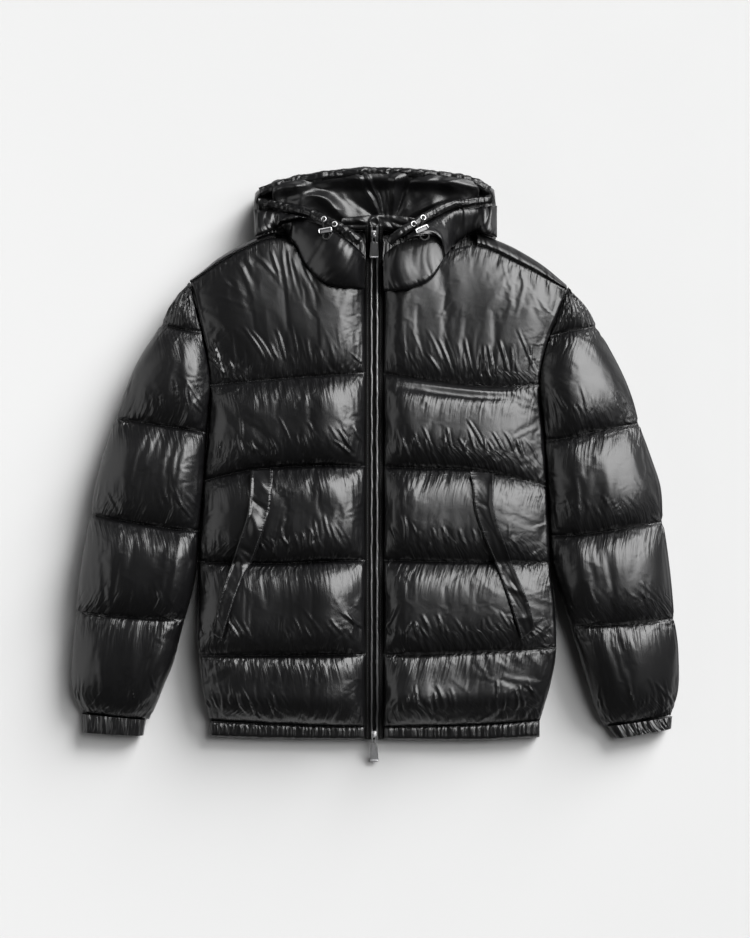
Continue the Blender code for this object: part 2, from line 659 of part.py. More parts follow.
def make_sleeves():
    for side in ("right", "left"):
        seams = SLEEVE_SEAMS[side]
        edges = lambda row, side=side: sleeve_edges(side, row)
        tops = quilted_top(seams, edges, 13, (0.030, PANEL_EDGE), SLEEVE_FOLDS[side])
        unders = plain_rows(seams, edges, 2, LAYER_GAP)
        loft(f"sleeve_top_{side}", "shell", tops, unders)
        tops = plain_rows(seams, edges, 2, -LAYER_GAP)
        unders = []
        for row in channel_rows(seams):
            x0, x1 = edges(row)
            width = abs(x1 - x0)
            radius = min(0.028, width * 0.45)
            edge_height = row_middle(row) - LAYER_GAP - PANEL_EDGE
            under = []
            for u in inset_places(width, radius):
                z = resting_z(min(u, 1 - u) * width, edge_height, radius, row[2])
                under.append((mix(x0, x1, u), row_y(row, u), z))
            unders.append(under)
        loft(f"sleeve_under_{side}", "shell", tops, unders)


def make_yokes():
    """Shoulder strips: from the front's upper seam over to the back's upper edge."""
    for side in ("right", "left"):
        seam = FRONT_SEAMS[side][-1]
        x0, x1 = ZIP_EDGE[side], body_x(side, seam.y4)
        tops, unders = [], []
        for v, z in YOKE_PROFILE:
            top, under = [], []
            for k, t in enumerate(even(13)):
                u = mix(YOKE_START, 1.0, t)
                x = mix(x0, x1, u)
                low = seam_y(seam, u) + SEWN_GAP
                high = curve_at(BACK_TOP, x)
                y = mix(low, max(high, low + 0.004), v)
                gather = 0.0012 * (-1) ** k * math.sin(math.pi * v)
                top.append((x, y, z + gather))
                under.append((x, y, seam.middle))
            tops.append(top)
            unders.append(under)
        loft(f"yoke_{side}", "shell", tops, unders)


def make_welts():
    for side in ("right", "left"):
        inner, outer = WELT[side]
        tops, unders = [], []
        for v, height in WELT_PROFILE:
            top, under = [], []
            for t in even(19):
                a, b = path_at(inner, t), path_at(outer, t)
                p = a.lerp(b, v)
                base = resting_height(p.x, p.y, [f"front_{side}"], 0.008) + REST_GAP
                ends = 0.25 + 0.75 * round_in(min(t, 1 - t), 0.09)
                under.append((p.x, p.y, base))
                top.append((p.x, p.y, base + 0.0015 + height * ends))
            tops.append(top)
            unders.append(under)
        loft(f"welt_{side}", "shell", tops, unders)


# ---------------------------------------------------------------- hem and cuffs

def gathered_band(name, x0, x1, stations, low_z, high_z, plain_top):
    """A length of the hem: gathers across a rounded strip, over a plain side."""
    tops, unders = [], []
    for k, t in enumerate(even(stations)):
        x = mix(x0, x1, t)
        side = "right" if x < 0 else "left"
        seams = FRONT_SEAMS[side]
        u = min(1.0, max(0.0, (x - ZIP_EDGE[side]) / (body_x(side, seams[0].y4) - ZIP_EDGE[side])))
        y_top = seam_y(seams[0], u) - SEWN_GAP
        y_bottom = curve_at(HEM_BOTTOM, x)
        wave = (1 if k % 2 else -1) * (0.0011 + 0.0005 * math.sin(1.7 * k))
        y_bottom += 0.4 * wave
        ends = 0.35 + 0.65 * round_in(min(t, 1 - t) * abs(x1 - x0), 0.010)
        thickness = high_z - low_z
        profile, shelf = HEM_UNDER if plain_top else HEM_OVER
        if plain_top:
            wave = 0.0
        top = [(mix(y_top, y_bottom, s), h * thickness * ends + wave * h) for s, h in profile]
        tops.append([(x, y, low_z + rise) for y, rise in top])
        unders.append([(x, mix(y_top, y_bottom, s), low_z + h * thickness) for s, h in shelf])
    loft(name, "shell", tops, unders)


def make_hem():
    side_gap = 0.001
    over, under = HEM_MIDDLE + LAYER_GAP, HEM_MIDDLE - LAYER_GAP
    sides = {}
    for side, inwards in (("right", 1), ("left", -1)):
        sides[side] = body_x(side, FRONT_SEAMS[side][0].y4) + inwards * side_gap
        gathered_band(f"hem_{side}", ZIP_EDGE[side], sides[side], 2 * HEM_GATHERS + 1, over, HEM_TOP, False)
    gathered_band("hem_back", sides["right"], sides["left"], 25, 0.0, under, True)


def cuff_loop(side, along, gathered):
    """One ring of a cuff's outer side: a gathered top over a flat underside."""
    top_in, top_out, low_in, low_out = (Vector(p) for p in CUFF_LINES[side])
    a, b = top_in.lerp(low_in, along), top_out.lerp(low_out, along)
    loop = []
    count = 2 * CUFF_GATHERS + 1
    for k, t in enumerate(even(count)):
        p = a.lerp(b, t)
        wave = (1 if k % 2 else -1) * 0.0012 * gathered
        rise = round_in(min(t, 1 - t), 0.14)
        loop.append((p.x, p.y, mix(CUFF_FOLD, CUFF_HEIGHT, rise) + wave * rise))
    for t in (0.98, 0.93, 0.82, 0.5, 0.18, 0.07, 0.02):
        p = a.lerp(b, t)
        loop.append((p.x, p.y, CUFF_FOLD * (1 - round_in(min(t, 1 - t), 0.18))))
    return loop


def make_cuffs():
    """Rings of elasticated cloth, flattened, with the hand's way through as a narrow slit."""
    for side in ("right", "left"):
        vertices, outer, inner = [], [], []
        top_in, top_out, low_in, low_out = (Vector(p) for p in CUFF_LINES[side])
        for along, gathered in ((0.0, 0.6), (0.12, 1.0), (0.55, 1.0), (0.9, 1.0), (1.0, 0.5)):
            loop = cuff_loop(side, along, gathered)
            outer.append(list(range(len(vertices), len(vertices) + len(loop))))
            squeeze = 0.93 if along in (0.0, 1.0) else 1.0
            for x, y, z in loop:
                over = max(0.0, z - CUFF_FOLD) * (squeeze - 1)
                vertices.append(Vector((x, y, z + over)))
        for along in (0.0, 1.0):
            a, b = top_in.lerp(low_in, along), top_out.lerp(low_out, along)
            p, q = a.lerp(b, 0.06), a.lerp(b, 0.94)
            inner.append(list(range(len(vertices), len(vertices) + 4)))
            for corner, z in ((p, CUFF_SLIT[1]), (q, CUFF_SLIT[1]), (q, CUFF_SLIT[0]), (p, CUFF_SLIT[0])):
                vertices.append(Vector((corner.x, corner.y, z)))
        faces = []
        for loops in (outer, inner):
            for a, b in zip(loops, loops[1:]):
                n = len(a)
                faces += [(a[i], a[(i + 1) % n], b[(i + 1) % n], b[i]) for i in range(n)]
        upper = 2 * CUFF_GATHERS + 1
        for ring, slit in ((outer[0], inner[0]), (outer[-1], inner[-1])):
            faces += stitch(vertices, ring[:upper], slit[:2])
            faces += stitch(vertices, ring[upper - 1:] + ring[:1], [slit[1], slit[2], slit[3], slit[0]])
        build(f"cuff_{side}", "shell", vertices, faces)


# ---------------------------------------------------------------- zip

def zip_z(y):
    return curve_at(ZIP_HEIGHT, y)


def zip_slope(y):
    return math.atan2(zip_z(y + 0.002) - zip_z(y - 0.002), 0.004)


def zip_stations():
    """Places along the zip, closer together where it climbs."""
    level = (-0.3975, -0.385, -0.3765, -0.355, -0.335, -0.305, -0.270, -0.15, 0.0, 0.15)
    return level + (0.240, 0.270, 0.290, 0.3035, 0.311, 0.318, 0.3245, 0.331, 0.337, 0.3425)


def make_zip():
    for side in ("right", "left"):
        outer = ZIP_EDGE[side] + (SEWN_GAP if side == "right" else -SEWN_GAP)
        inner = ZIP_MIDDLE + (-0.0002 if side == "right" else 0.0002)
        tops = [[(outer, y, zip_z(y)), (inner, y, zip_z(y))] for y in zip_stations()]
        unders = [[(x, y, z - TAPE_THICKNESS) for x, y, z in row] for row in tops]
        loft(f"zip_tape_{side}", "tape", tops, unders)
        x, radius = PIPING[side]
        drop = radius + 0.0003
        points = []
        for y in zip_stations():
            slope = zip_slope(y)
            points.append((x, y - math.sin(slope) * drop, zip_z(y) + math.cos(slope) * drop))
        tube(f"zip_piping_{side}", "piping", points, radius, 1)


def tube(name, material, points, radius, sides=2):
    data = bpy.data.curves.new(name, "CURVE")
    data.dimensions = "3D"
    data.bevel_depth = radius
    data.bevel_resolution = sides
    data.use_fill_caps = True
    line = data.splines.new("POLY")
    line.points.add(len(points) - 1)
    for point, place in zip(line.points, points):
        point.co = (*place, 1.0)
    data.materials.append(materials[material])
    piece = bpy.data.objects.new(name, data)
    jacket.objects.link(piece)
    return piece


def extruded(name, material, outlines, thickness):
    """A flat plate in its own XY plane: the first outline, less the others."""
    data = bpy.data.curves.new(name, "CURVE")
    data.dimensions = "2D"
    data.fill_mode = "BOTH"
    data.extrude = thickness / 2
    for outline in outlines:
        line = data.splines.new("POLY")
        line.points.add(len(outline) - 1)
        for point, place in zip(line.points, outline):
            point.co = (*place, 0.0, 1.0)
        line.use_cyclic_u = True
    guide = bpy.data.objects.new(name + "_outline", data)
    bpy.context.scene.collection.objects.link(guide)
    mesh = bpy.data.meshes.new_from_object(guide.evaluated_get(bpy.context.evaluated_depsgraph_get()))
    bpy.data.objects.remove(guide)
    work = bmesh.new()
    work.from_mesh(mesh)
    bmesh.ops.remove_doubles(work, verts=work.verts, dist=0.00001)
    bmesh.ops.recalc_face_normals(work, faces=work.faces)
    work.to_mesh(mesh)
    work.free()
    mesh.name = name
    mesh.materials.clear()
    mesh.materials.append(materials[material])
    piece = bpy.data.objects.new(name, mesh)
    jacket.objects.link(piece)
    return piece


def rounded_box(name, material, size, bevel):
    mesh = bpy.data.meshes.new(name)
    work = bmesh.new()
    bmesh.ops.create_cube(work, size=1.0)
    bmesh.ops.scale(work, vec=size, verts=work.verts)
    bmesh.ops.bevel(
        work, geom=list(work.edges), offset=bevel, segments=2, profile=0.5, affect="EDGES"
    )
    work.to_mesh(mesh)
    work.free()
    mesh.materials.append(materials[material])
    piece = bpy.data.objects.new(name, mesh)
    jacket.objects.link(piece)
    return piece


def joined(piece, tool):
    """Unites a shape with a piece; the tool moves to the cutters and is hidden."""
    jacket.objects.unlink(tool)
    cutters.objects.link(tool)
    tool.hide_render = True
    tool.display_type = "WIRE"
    union = piece.modifiers.new("union", "BOOLEAN")
    union.operation = "UNION"
    union.solver = "EXACT"
    union.object = tool


def hinge_place(y):
    """Middle of a pull's bar: in the hole of its slider's bridge, at the lower end."""
    slope = zip_slope(y)
    lift = SLIDER_RISE + SLIDER_HEIGHT + BRIDGE_HEIGHT - BRIDGE_WALL - PULL_THICKNESS / 2 - PULL_PLAY
    back = BRIDGE_LENGTH / 2 - BRIDGE_WALL - PULL_BAR / 2 - PULL_PLAY
    return Vector((
        ZIP_MIDDLE,
        y - math.sin(slope) * lift - math.cos(slope) * back,
        zip_z(y) + math.cos(slope) * lift - math.sin(slope) * back,
    ))


def make_slider(name, y):
    """Slider body on the teeth, with a bridge whose hole holds the pull."""
    slope = zip_slope(y)
    lift = SLIDER_RISE + SLIDER_HEIGHT / 2
    body = rounded_box(name, "metal", (SLIDER_WIDTH, SLIDER_LENGTH, SLIDER_HEIGHT), 0.0009)
    body.location = (ZIP_MIDDLE, y - math.sin(slope) * lift, zip_z(y) + math.cos(slope) * lift)
    body.rotation_euler = (slope, 0, 0)
    half, wall, high = BRIDGE_LENGTH / 2, BRIDGE_WALL, BRIDGE_HEIGHT
    sink = 0.0006  # how far the bridge's feet reach into the body
    corner = 0.0016
    inside = 0.0007
    right = [(half, -sink), (half, high - corner), (half - corner, high)]
    outline = right + [(-a, b) for a, b in reversed(right)]
    right = [(half - wall, sink), (half - wall, high - wall - inside), (half - wall - inside, high - wall)]
    hole = right + [(-a, b) for a, b in reversed(right)]
    bridge = extruded(name + "_bridge", "metal", (outline, hole), BRIDGE_WIDTH)
    turn = math.radians(90)
    for vertex in bridge.data.vertices:
        a, b, c = vertex.co
        vertex.co = (c, a, b + SLIDER_HEIGHT / 2)
    bridge.parent = body
    joined(body, bridge)


def make_pull(which, y):
    """Pull tab: a wire neck round the slider's bridge, then a flared plate with a lip at its end."""
    place = hinge_place(y)
    pivot = bpy.data.objects.new(f"pull_{which}_pivot", None)
    jacket.objects.link(pivot)
    pivot.location = place
    neck, near, far = PULL_NECK_WIDTH / 2, PULL_WIDTH_NEAR / 2, PULL_WIDTH_FAR / 2
    hole = PULL_HOLE_WIDTH / 2
    end = PULL_BAR / 2
    tip = -(PULL_NECK + PULL_BODY) + end
    shoulder = -PULL_NECK + end
    right = [
        (neck * 0.6, end), (neck, end - 0.0012), (neck, shoulder + 0.0018), (near, shoulder),
        (far, tip + 0.0020), (far * 0.80, tip),
    ]
    outline = [(-x, y) for x, y in right] + [(x, y) for x, y in reversed(right)]
    window = [(-hole, -end), (-hole, shoulder + 0.0016), (hole, shoulder + 0.0016), (hole, -end)]
    plate = extruded(f"pull_{which}", "metal", (outline, window), PULL_THICKNESS)
    lip_size = (PULL_WIDTH_FAR * 0.90, PULL_LIP, PULL_THICKNESS + 0.0012)
    lip = rounded_box(f"pull_{which}_lip", "metal", lip_size, 0.0005)
    lip.location = (0, tip + PULL_LIP * 0.9, 0.0006)
    for piece in (plate, lip):
        piece.parent = pivot
    joined(plate, lip)
    pivot.rotation_euler = (math.radians(PULL_SLOPE[which]), 0, 0)


# ---------------------------------------------------------------- hood

def crown_row(v):
    """Plan points and edge distance across a row of the hood's folded back."""
    low = lambda x: curve_at(BACK_TOP, x) + 0.0020
    y_right = mix(low(-0.173), HOOD_ARC[0][1], v)
    y_left = mix(low(0.1755), HOOD_ARC[-1][1], v)
    x_right = curve_at(HOOD_EDGE["right"], y_right)
    x_left = curve_at(HOOD_EDGE["left"], y_left)
    row = []
    for u in crowded(15):
        x = mix(x_right, x_left, u)
        arc_x = mix(HOOD_ARC[0][0], HOOD_ARC[-1][0], u)
        row.append((u, x, mix(low(x), curve_at(HOOD_ARC, arc_x), v)))
    return row


def make_crown():
    """The hood's back, folded under itself: a bowl above, flat below, two layers at the far edge."""
    tops, unders = [], []
    for v in (0.0, 0.15, 0.3, 0.45, 0.6, 0.74, 0.86, 0.95, 1.0):
        top, under = [], []
        for u, x, y in crown_row(v):
            inside = round_in(min(u, 1 - u) * 0.35, 0.020)
            bowl = BOWL_FLOOR + BOWL_RISE * v**1.5 * (1 - 0.75 * abs(2 * u - 1) ** 3)
            far = round_in((1 - v) * 0.085 + 0.002, 0.014)
            top.append((x, y, mix(0.026, bowl, inside * far)))
            turned = 0.014 * (1 - round_in(min(u, 1 - u) * 0.35, 0.018) * round_in((1 - v) * 0.085, 0.014))
            under.append((x, y, turned))
        tops.append(top)
        unders.append(under)
    groove, lobe = [], []
    last = len(tops[-1]) - 1
    for i, (x, y, z) in enumerate(tops[-1]):
        groove.append((x, y - 0.004 * round_in(min(i, last - i), 2), z - 0.006))
        lobe.append((x, y, (z + unders[-1][i][2]) / 2 - 0.002))
    loft("hood_crown", "shell", tops, unders, end=(groove, lobe))


def make_lining():
    """Shiny lining over the bowl, with folds that spread from the back neck."""
    tops, unders = [], []
    for v in (0.05, 0.18, 0.34, 0.5, 0.66, 0.8, 0.9):
        top, under = [], []
        for k, t in enumerate(even(25)):
            x = mix(*LINING_REACH, t)
            y = mix(curve_at(BACK_TOP, x) + 0.0020, curve_at(HOOD_ARC, x), v)
            base = resting_height(x, y, ["hood_crown"], 0.007) + REST_GAP
            lift = sum(h * math.exp(-(((t - place) / width) ** 2)) for place, width, h in LINING_FOLDS)
            lift *= min(1.0, v * 1.6) * min(1.0, (0.95 - v) / 0.25)
            if k % 2 == 0:
                under.append((x, y, base))
            top.append((x, y, base + 0.0040 + lift))
        tops.append(top)
        unders.append(under)
    loft("hood_lining", "lining", tops, unders)


def make_facing():
    (x0, x1), (y0, y1) = FACING
    tops, unders = [], []
    for v, height in ((0.0, 0.0012), (0.2, 0.0026), (0.8, 0.0030), (1.0, 0.0014)):
        top, under = [], []
        for t in even(9):
            x = mix(x0, x1, t)
            y = mix(y0, y1, v) - 0.006 * (2 * t - 1) ** 2 * v
            base = resting_height(x, y, ["hood_lining", "hood_crown"], 0.005) + REST_GAP
            under.append((x, y, base))
            top.append((x, y, base + 0.001 + height))
        tops.append(top)
        unders.append(under)
    loft("hood_facing", "lining", tops, unders)


def drape(name, lower, upper, columns, thickness, height, under_names, zip_side=False):
    """A padded hood piece between two outlines, resting on the pieces named below it."""
    tops, unders = [], []
    for v in crowded(7):
        top, under = [], []
        for u in crowded(columns):
            a, b = path_at(lower, u), path_at(upper, u)
            rest = resting_height(a.x, a.y, under_names) + REST_GAP + PANEL_EDGE
            low = Vector((a.x, a.y, max(rest, 0.036)))
            p = low.lerp(b, v)
            side = round_in(min(u, 1 - u), 0.12)
            swell = height * puff(v, 2.6) * side
            z = p.z + swell
            base = resting_height(p.x, p.y, under_names) + REST_GAP
            bottom = max(base, z - thickness)
            top.append((p.x, p.y, max(z, bottom + 0.002)))
            under.append((p.x, p.y, bottom))
        tops.append(top)
        unders.append(under)
    loft(name, "shell", tops, unders)


def make_hood_sides():
    for side in ("right", "left"):
        below = ["back", f"front_{side}", f"yoke_{side}", "hood_crown", "hood_lining"]
        lower, upper = CHIN[side]
        drape(f"chin_{side}", lower, upper, 15, 0.026, 0.013, below)
        lower, upper = HOOD_SIDE[side]
        drape(f"hood_side_{side}", lower, upper, 15, 0.022, 0.011, below)


def path_frame(path, t):
    """A path's point at the share t, and the directions across it and up from it."""
    reach = 0.01
    ahead, behind = path_at(path, min(1.0, t + reach)), path_at(path, max(0.0, t - reach))
    tangent = (ahead - behind).normalized()
    across = tangent.cross(Vector((0, 0, 1))).normalized()
    return path_at(path, t), across, across.cross(tangent).normalized()


def gathered_tube(name, path, waves, depth, width):
    """A tunnel of cloth along a path, its gathers as rings that swell and narrow by turns."""
    count = 2 * waves + 1
    n = CASING_SIDES
    vertices = []
    for k, t in enumerate(even(count)):
        middle, across, up = path_frame(path, t)
        swell = depth * (1 if k % 2 else -1) * (1 + 0.4 * math.sin(2.3 * k))
        for i in range(n):
            angle = math.tau * i / n
            aside = math.cos(angle) * width / 2 * (1 + swell / 2)
            lift = math.sin(angle) * CASING_DEPTH / 2 * (1 + swell)
            vertices.append(middle + across * aside + up * lift)
    faces = [tuple(range(n)), tuple(range(len(vertices) - n, len(vertices)))]
    for r in range(count - 1):
        for i in range(n):
            j = (i + 1) % n
            faces.append((r * n + i, r * n + j, (r + 1) * n + j, (r + 1) * n + i))
    build(name, "shell", vertices, faces)


def make_casings():
    gathered_tube("casing_top", CASING_TOP_PATH, CASING_TOP_GATHERS, 0.085, CASING_WIDTH)
    for side in ("right", "left"):
        path = CASING_SIDE_PATH[side]
        gathered_tube(f"casing_{side}", path, CASING_SIDE_GATHERS, 0.05, CASING_WIDTH * 0.95)


# ---------------------------------------------------------------- drawcords

def eyelet_place(side, share):
    """Middle of an eyelet on top of its casing, and the direction out of it."""
    middle, across, up = path_frame(CASING_SIDE_PATH[side], share)
    flat_top = CASING_DEPTH / 2 * math.sin(math.tau / CASING_SIDES) * 1.07
    return middle + up * (flat_top + SEWN_GAP + EYELET_WIRE), up


def make_eyelet(name, place, up):
    around, section = 10, 5
    turn = up.to_track_quat("Z", "Y")
    vertices = []
    for i in range(around):
        a = math.tau * i / around
        for k in range(section):
            b = math.tau * k / section
            radius = EYELET_RING + EYELET_WIRE * math.cos(b)
            local = Vector((radius * math.cos(a), radius * math.sin(a), EYELET_WIRE * math.sin(b)))
            vertices.append(place + turn @ local)
    faces = []
    for i in range(around):
        ahead = (i + 1) % around
        for k in range(section):
            after = (k + 1) % section
            ring, following = i * section, ahead * section
            faces.append((ring + k, following + k, following + after, ring + after))
    build(name, "bright_metal", vertices, faces)


def lock_frame(side):
    middle, turn, tilt, roll = LOCK_PLACE[side]
    frame = Matrix.Translation(middle) @ Matrix.Rotation(math.radians(turn), 4, "Z")
    frame = frame @ Matrix.Rotation(-math.radians(tilt), 4, "Y")
    return frame @ Matrix.Rotation(math.radians(roll), 4, "X")


def make_lock(side):
    """Cord lock: a block with a way through for each strand, and a bar with hooked ends over it."""
    length, depth, height = LOCK_SIZE
    x, z, c = length / 2, height / 2, LOCK_CORNER
    outline = [(-x, -z + c), (-x + c, -z), (x - c, -z), (x, -z + c)]
    outline += [(-a, -b) for a, b in outline]
    holes = []
    for middle in (-LOCK_HOLE_OFFSET, LOCK_HOLE_OFFSET):
        turns = [math.tau * (i + 0.5) / 8 for i in range(8)]
        holes.append([(middle + LOCK_HOLE * math.cos(a), LOCK_HOLE * math.sin(a)) for a in turns])
    lock = extruded(f"cord_lock_{side}", "lock", (outline, *holes), depth)
    frame = lock_frame(side)
    lock.matrix_world = frame @ Matrix.Rotation(math.radians(90), 4, "X")
    above = z + SEWN_GAP + BAR_RADIUS
    end = BAR_LENGTH / 2
    bend = 0.0007
    local = [
        (-end, -BAR_HOOK, above - bend), (-end, -bend, above), (-end + bend, 0, above), (0, 0, above),
        (end - bend, 0, above), (end, -bend, above), (end, -BAR_HOOK, above - bend),
    ]
    along = Vector((0, depth * 0.3, 0))
    points = [frame @ (Vector(p) + along) for p in local]
    tube(f"lock_bar_{side}", "bright_metal", points, BAR_RADIUS)


def make_drawcords():
    for side in ("right", "left"):
        for which, share in zip(("outer", "inner"), sorted(EYELETS[side])):
            make_eyelet(f"eyelet_{side}_{which}", *eyelet_place(side, share))
        make_lock(side)
        tube(f"cord_{side}", "cord", CORD_ROUTE[side], CORD_RADIUS)


# ---------------------------------------------------------------- all the pieces

make_fronts()
make_back()
make_sleeves()
make_yokes()
make_welts()
make_hem()
make_cuffs()
make_zip()
make_slider("slider_top", SLIDER_TOP_Y)
make_slider("slider_bottom", SLIDER_BOTTOM_Y)
make_pull("top", SLIDER_TOP_Y)
make_pull("bottom", SLIDER_BOTTOM_Y)
make_crown()
make_lining()
make_facing()
make_hood_sides()
make_casings()
make_drawcords()
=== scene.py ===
import math
import time

import bpy
import numpy as np
from mathutils import Matrix, Vector
from mathutils.bvhtree import BVHTree
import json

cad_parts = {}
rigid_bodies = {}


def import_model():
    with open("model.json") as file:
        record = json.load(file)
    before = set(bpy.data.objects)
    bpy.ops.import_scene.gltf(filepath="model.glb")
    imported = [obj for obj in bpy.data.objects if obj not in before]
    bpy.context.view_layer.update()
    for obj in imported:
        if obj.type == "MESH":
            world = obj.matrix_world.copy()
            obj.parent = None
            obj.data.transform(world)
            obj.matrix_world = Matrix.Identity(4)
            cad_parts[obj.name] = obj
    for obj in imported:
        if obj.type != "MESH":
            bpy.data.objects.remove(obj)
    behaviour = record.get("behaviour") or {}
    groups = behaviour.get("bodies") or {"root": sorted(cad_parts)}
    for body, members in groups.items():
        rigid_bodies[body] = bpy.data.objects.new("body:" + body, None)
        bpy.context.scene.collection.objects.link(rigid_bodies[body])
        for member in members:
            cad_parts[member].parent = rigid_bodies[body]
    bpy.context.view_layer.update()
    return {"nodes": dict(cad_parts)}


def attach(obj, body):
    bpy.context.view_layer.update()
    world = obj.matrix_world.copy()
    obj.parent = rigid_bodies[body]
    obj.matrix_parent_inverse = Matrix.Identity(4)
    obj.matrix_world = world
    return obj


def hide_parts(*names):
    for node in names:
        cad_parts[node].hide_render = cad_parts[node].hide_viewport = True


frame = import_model()
scene = bpy.context.scene
started = time.time()
body = "jacket"
outwardOf = {"right": -1, "left": 1}  # the wearer's sides, and the way each lies from the zip


def report(stage):
    print(f"{stage}: {time.time() - started:.1f} s")


def addObject(name, data):
    made = bpy.data.objects.new(name, data)
    scene.collection.objects.link(made)
    return made


def withSettings(thing, **settings):
    for key, value in settings.items():
        setattr(thing, key, value)
    return thing


# The camera looks straight down; at the jacket's height the picture is 1.36 m high.
camera = {
    "height": 3.04,
    "aim": (0.0, -0.0029),
    "pictureHeight": 1.360,
    "aimHeight": 0.035,
    "sensor": 36.0,
    "clip": (0.05, 30),
}


def makeCamera():
    lens = camera["sensor"] * (camera["height"] - camera["aimHeight"]) / camera["pictureHeight"]
    near, far = camera["clip"]
    scene.camera = addObject("camera", withSettings(
        bpy.data.cameras.new("camera"), sensor_width=camera["sensor"], lens=lens, clip_start=near, clip_end=far))
    scene.camera.location = (*camera["aim"], camera["height"])


makeCamera()
scene.view_settings.view_transform = "Standard"


def mix(a, b, t):
    return a + (b - a) * t


def curveAt(table, keys):
    # smooth values at the keys, through (key, value) pairs
    points = np.array(sorted(table), float)
    k, v = points[:, 0], points[:, 1]
    before = np.maximum(np.arange(len(k)) - 1, 0)
    after = np.minimum(np.arange(len(k)) + 1, len(k) - 1)
    slope = (v[after] - v[before]) / (k[after] - k[before])
    x = np.clip(np.asarray(keys, float), k[0], k[-1])
    i = np.clip(np.searchsorted(k, x) - 1, 0, len(k) - 2)
    span = k[i + 1] - k[i]
    t = (x - k[i]) / span
    start = (2 * t**3 - 3 * t**2 + 1) * v[i] + (t**3 - 2 * t**2 + t) * span * slope[i]
    return start + (3 * t**2 - 2 * t**3) * v[i + 1] + (t**3 - t**2) * span * slope[i + 1]


def pathAt(points, shares):
    # points at shares of the length of a smooth path
    points = np.array(points, float)
    steps = np.linalg.norm(np.diff(points, axis=0), axis=1)
    lengths = np.concatenate([[0], np.cumsum(steps)])
    along = np.asarray(shares, float) * lengths[-1]
    return np.stack([curveAt(list(zip(lengths, axis)), along) for axis in points.T], -1)


def roundIn(distance, radius):
    # a quarter circle, from 0 at the edge to 1 at the radius
    t = np.clip(distance / radius, 0, 1)
    return np.sqrt(1 - (1 - t) ** 2)


def puff(v, power=2.3):
    # the section of a filled row, 0 at its two seams and 1 between them
    return np.sqrt(np.maximum(0, 1 - np.abs(2 * v - 1) ** power))


def arch(v, power=1.0):
    # 0 at both ends and 1 in the middle
    return np.sin(math.pi * v) ** power


def hill(distance, width):
    # 1 in the middle, and almost 0 at twice the width
    return np.exp(-(distance / width) ** 2)


def smoothStep(t):
    t = np.clip(t, 0, 1)
    return t * t * (3 - 2 * t)


def evenShares(count):
    # shares from 0 to 1
    return np.linspace(0, 1, count)


def closerAtEnds(count):
    # the same, but closer together at both ends
    return (1 - np.cos(math.pi * evenShares(count))) / 2


def sharesOf(points):
    # across and along a piece of so many (columns, rows), to be used together
    columns, rows = points
    return evenShares(columns), evenShares(rows)[:, None]


def noise(x, y, seed, cells=97):
    # smooth, from -1 to 1, one hill or hollow for each unit square, the same again after so many cells
    table = np.random.default_rng(seed).uniform(-1, 1, (cells, cells))
    x, y = np.broadcast_arrays(np.asarray(x, float), np.asarray(y, float))
    i, j = np.floor(x).astype(int), np.floor(y).astype(int)
    a, b = smoothStep(x - i), smoothStep(y - j)
    i, j, k, m = i % cells, j % cells, (i + 1) % cells, (j + 1) % cells
    return mix(mix(table[i, j], table[k, j], a), mix(table[i, m], table[k, m], a), b)


def gathers(s, lean, seed, size=0.005):
    # ridges of gathered cloth, from -1 to 1, s metres along the band; lean shears them
    broad = 2 * np.abs(noise(s / size + lean, 0.5, seed)) - 1
    return 0.7 * broad + 0.3 * noise(s / (0.42 * size) + lean, 3.5, seed + 1)


def blurAcross(grid, times, ring=False):
    for _ in range(times):
        before, after = np.roll(grid, 1, 1), np.roll(grid, -1, 1)
        if not ring:
            before[:, 0], after[:, -1] = grid[:, 0], grid[:, -1]
        grid = (before + 2 * grid + after) / 4
    return grid


def blur(grid, times):
    for _ in range(times):
        grid = blurAcross(blurAcross(grid, 1).swapaxes(0, 1), 1).swapaxes(0, 1)
    return grid


def normalsOf(grid, ring=False):
    across = np.roll(grid, -1, 1) - np.roll(grid, 1, 1) if ring else np.gradient(grid, axis=1)
    normal = np.cross(across, np.gradient(grid, axis=0))
    return normal / np.maximum(np.linalg.norm(normal, axis=-1, keepdims=True), 1e-12)


def finer(grid, ring=False):
    # twice the rows and columns, on smooth curves through the old points
    def along(g, closed):
        if closed:
            a, b, c, d = np.roll(g, 1, 0), g, np.roll(g, -1, 0), np.roll(g, -2, 0)
            out = np.empty((2 * len(g), *g.shape[1:]))
        else:
            a = np.concatenate([2 * g[:1] - g[1:2], g[:-2]])
            b, c = g[:-1], g[1:]
            d = np.concatenate([g[2:], 2 * g[-1:] - g[-2:-1]])
            out = np.empty((2 * len(g) - 1, *g.shape[1:]))
        out[0::2], out[1::2] = g, (9 * (b + c) - a - d) / 16
        return out

    return along(along(grid, False).swapaxes(0, 1), ring).swapaxes(0, 1)


def gridFaces(rows, columns, ring=False, flip=False, first=0):
    faces = []
    for j in range(rows - 1):
        for i in range(columns if ring else columns - 1):
            k = (i + 1) % columns
            a, b = first + j * columns, first + (j + 1) * columns
            face = (a + i, a + k, b + k, b + i)
            faces.append(face[::-1] if flip else face)
    return faces


def flatPlaces(grid):
    # where each point of a grid lies on the flat cloth, in metres
    down = np.cumsum(np.linalg.norm(np.diff(grid, axis=0, prepend=grid[:1]), axis=-1), 0)
    across = np.cumsum(np.linalg.norm(np.diff(grid, axis=1, prepend=grid[:, :1]), axis=-1), 1)
    return np.stack([across, down], -1)


def gridOf(*parts):
    # points from their coordinates, each a grid, a row, a column or one number
    return np.stack(np.broadcast_arrays(*parts), -1)


def atHeight(plan, z):
    return gridOf(plan[..., 0], plan[..., 1], z)


trees = {}


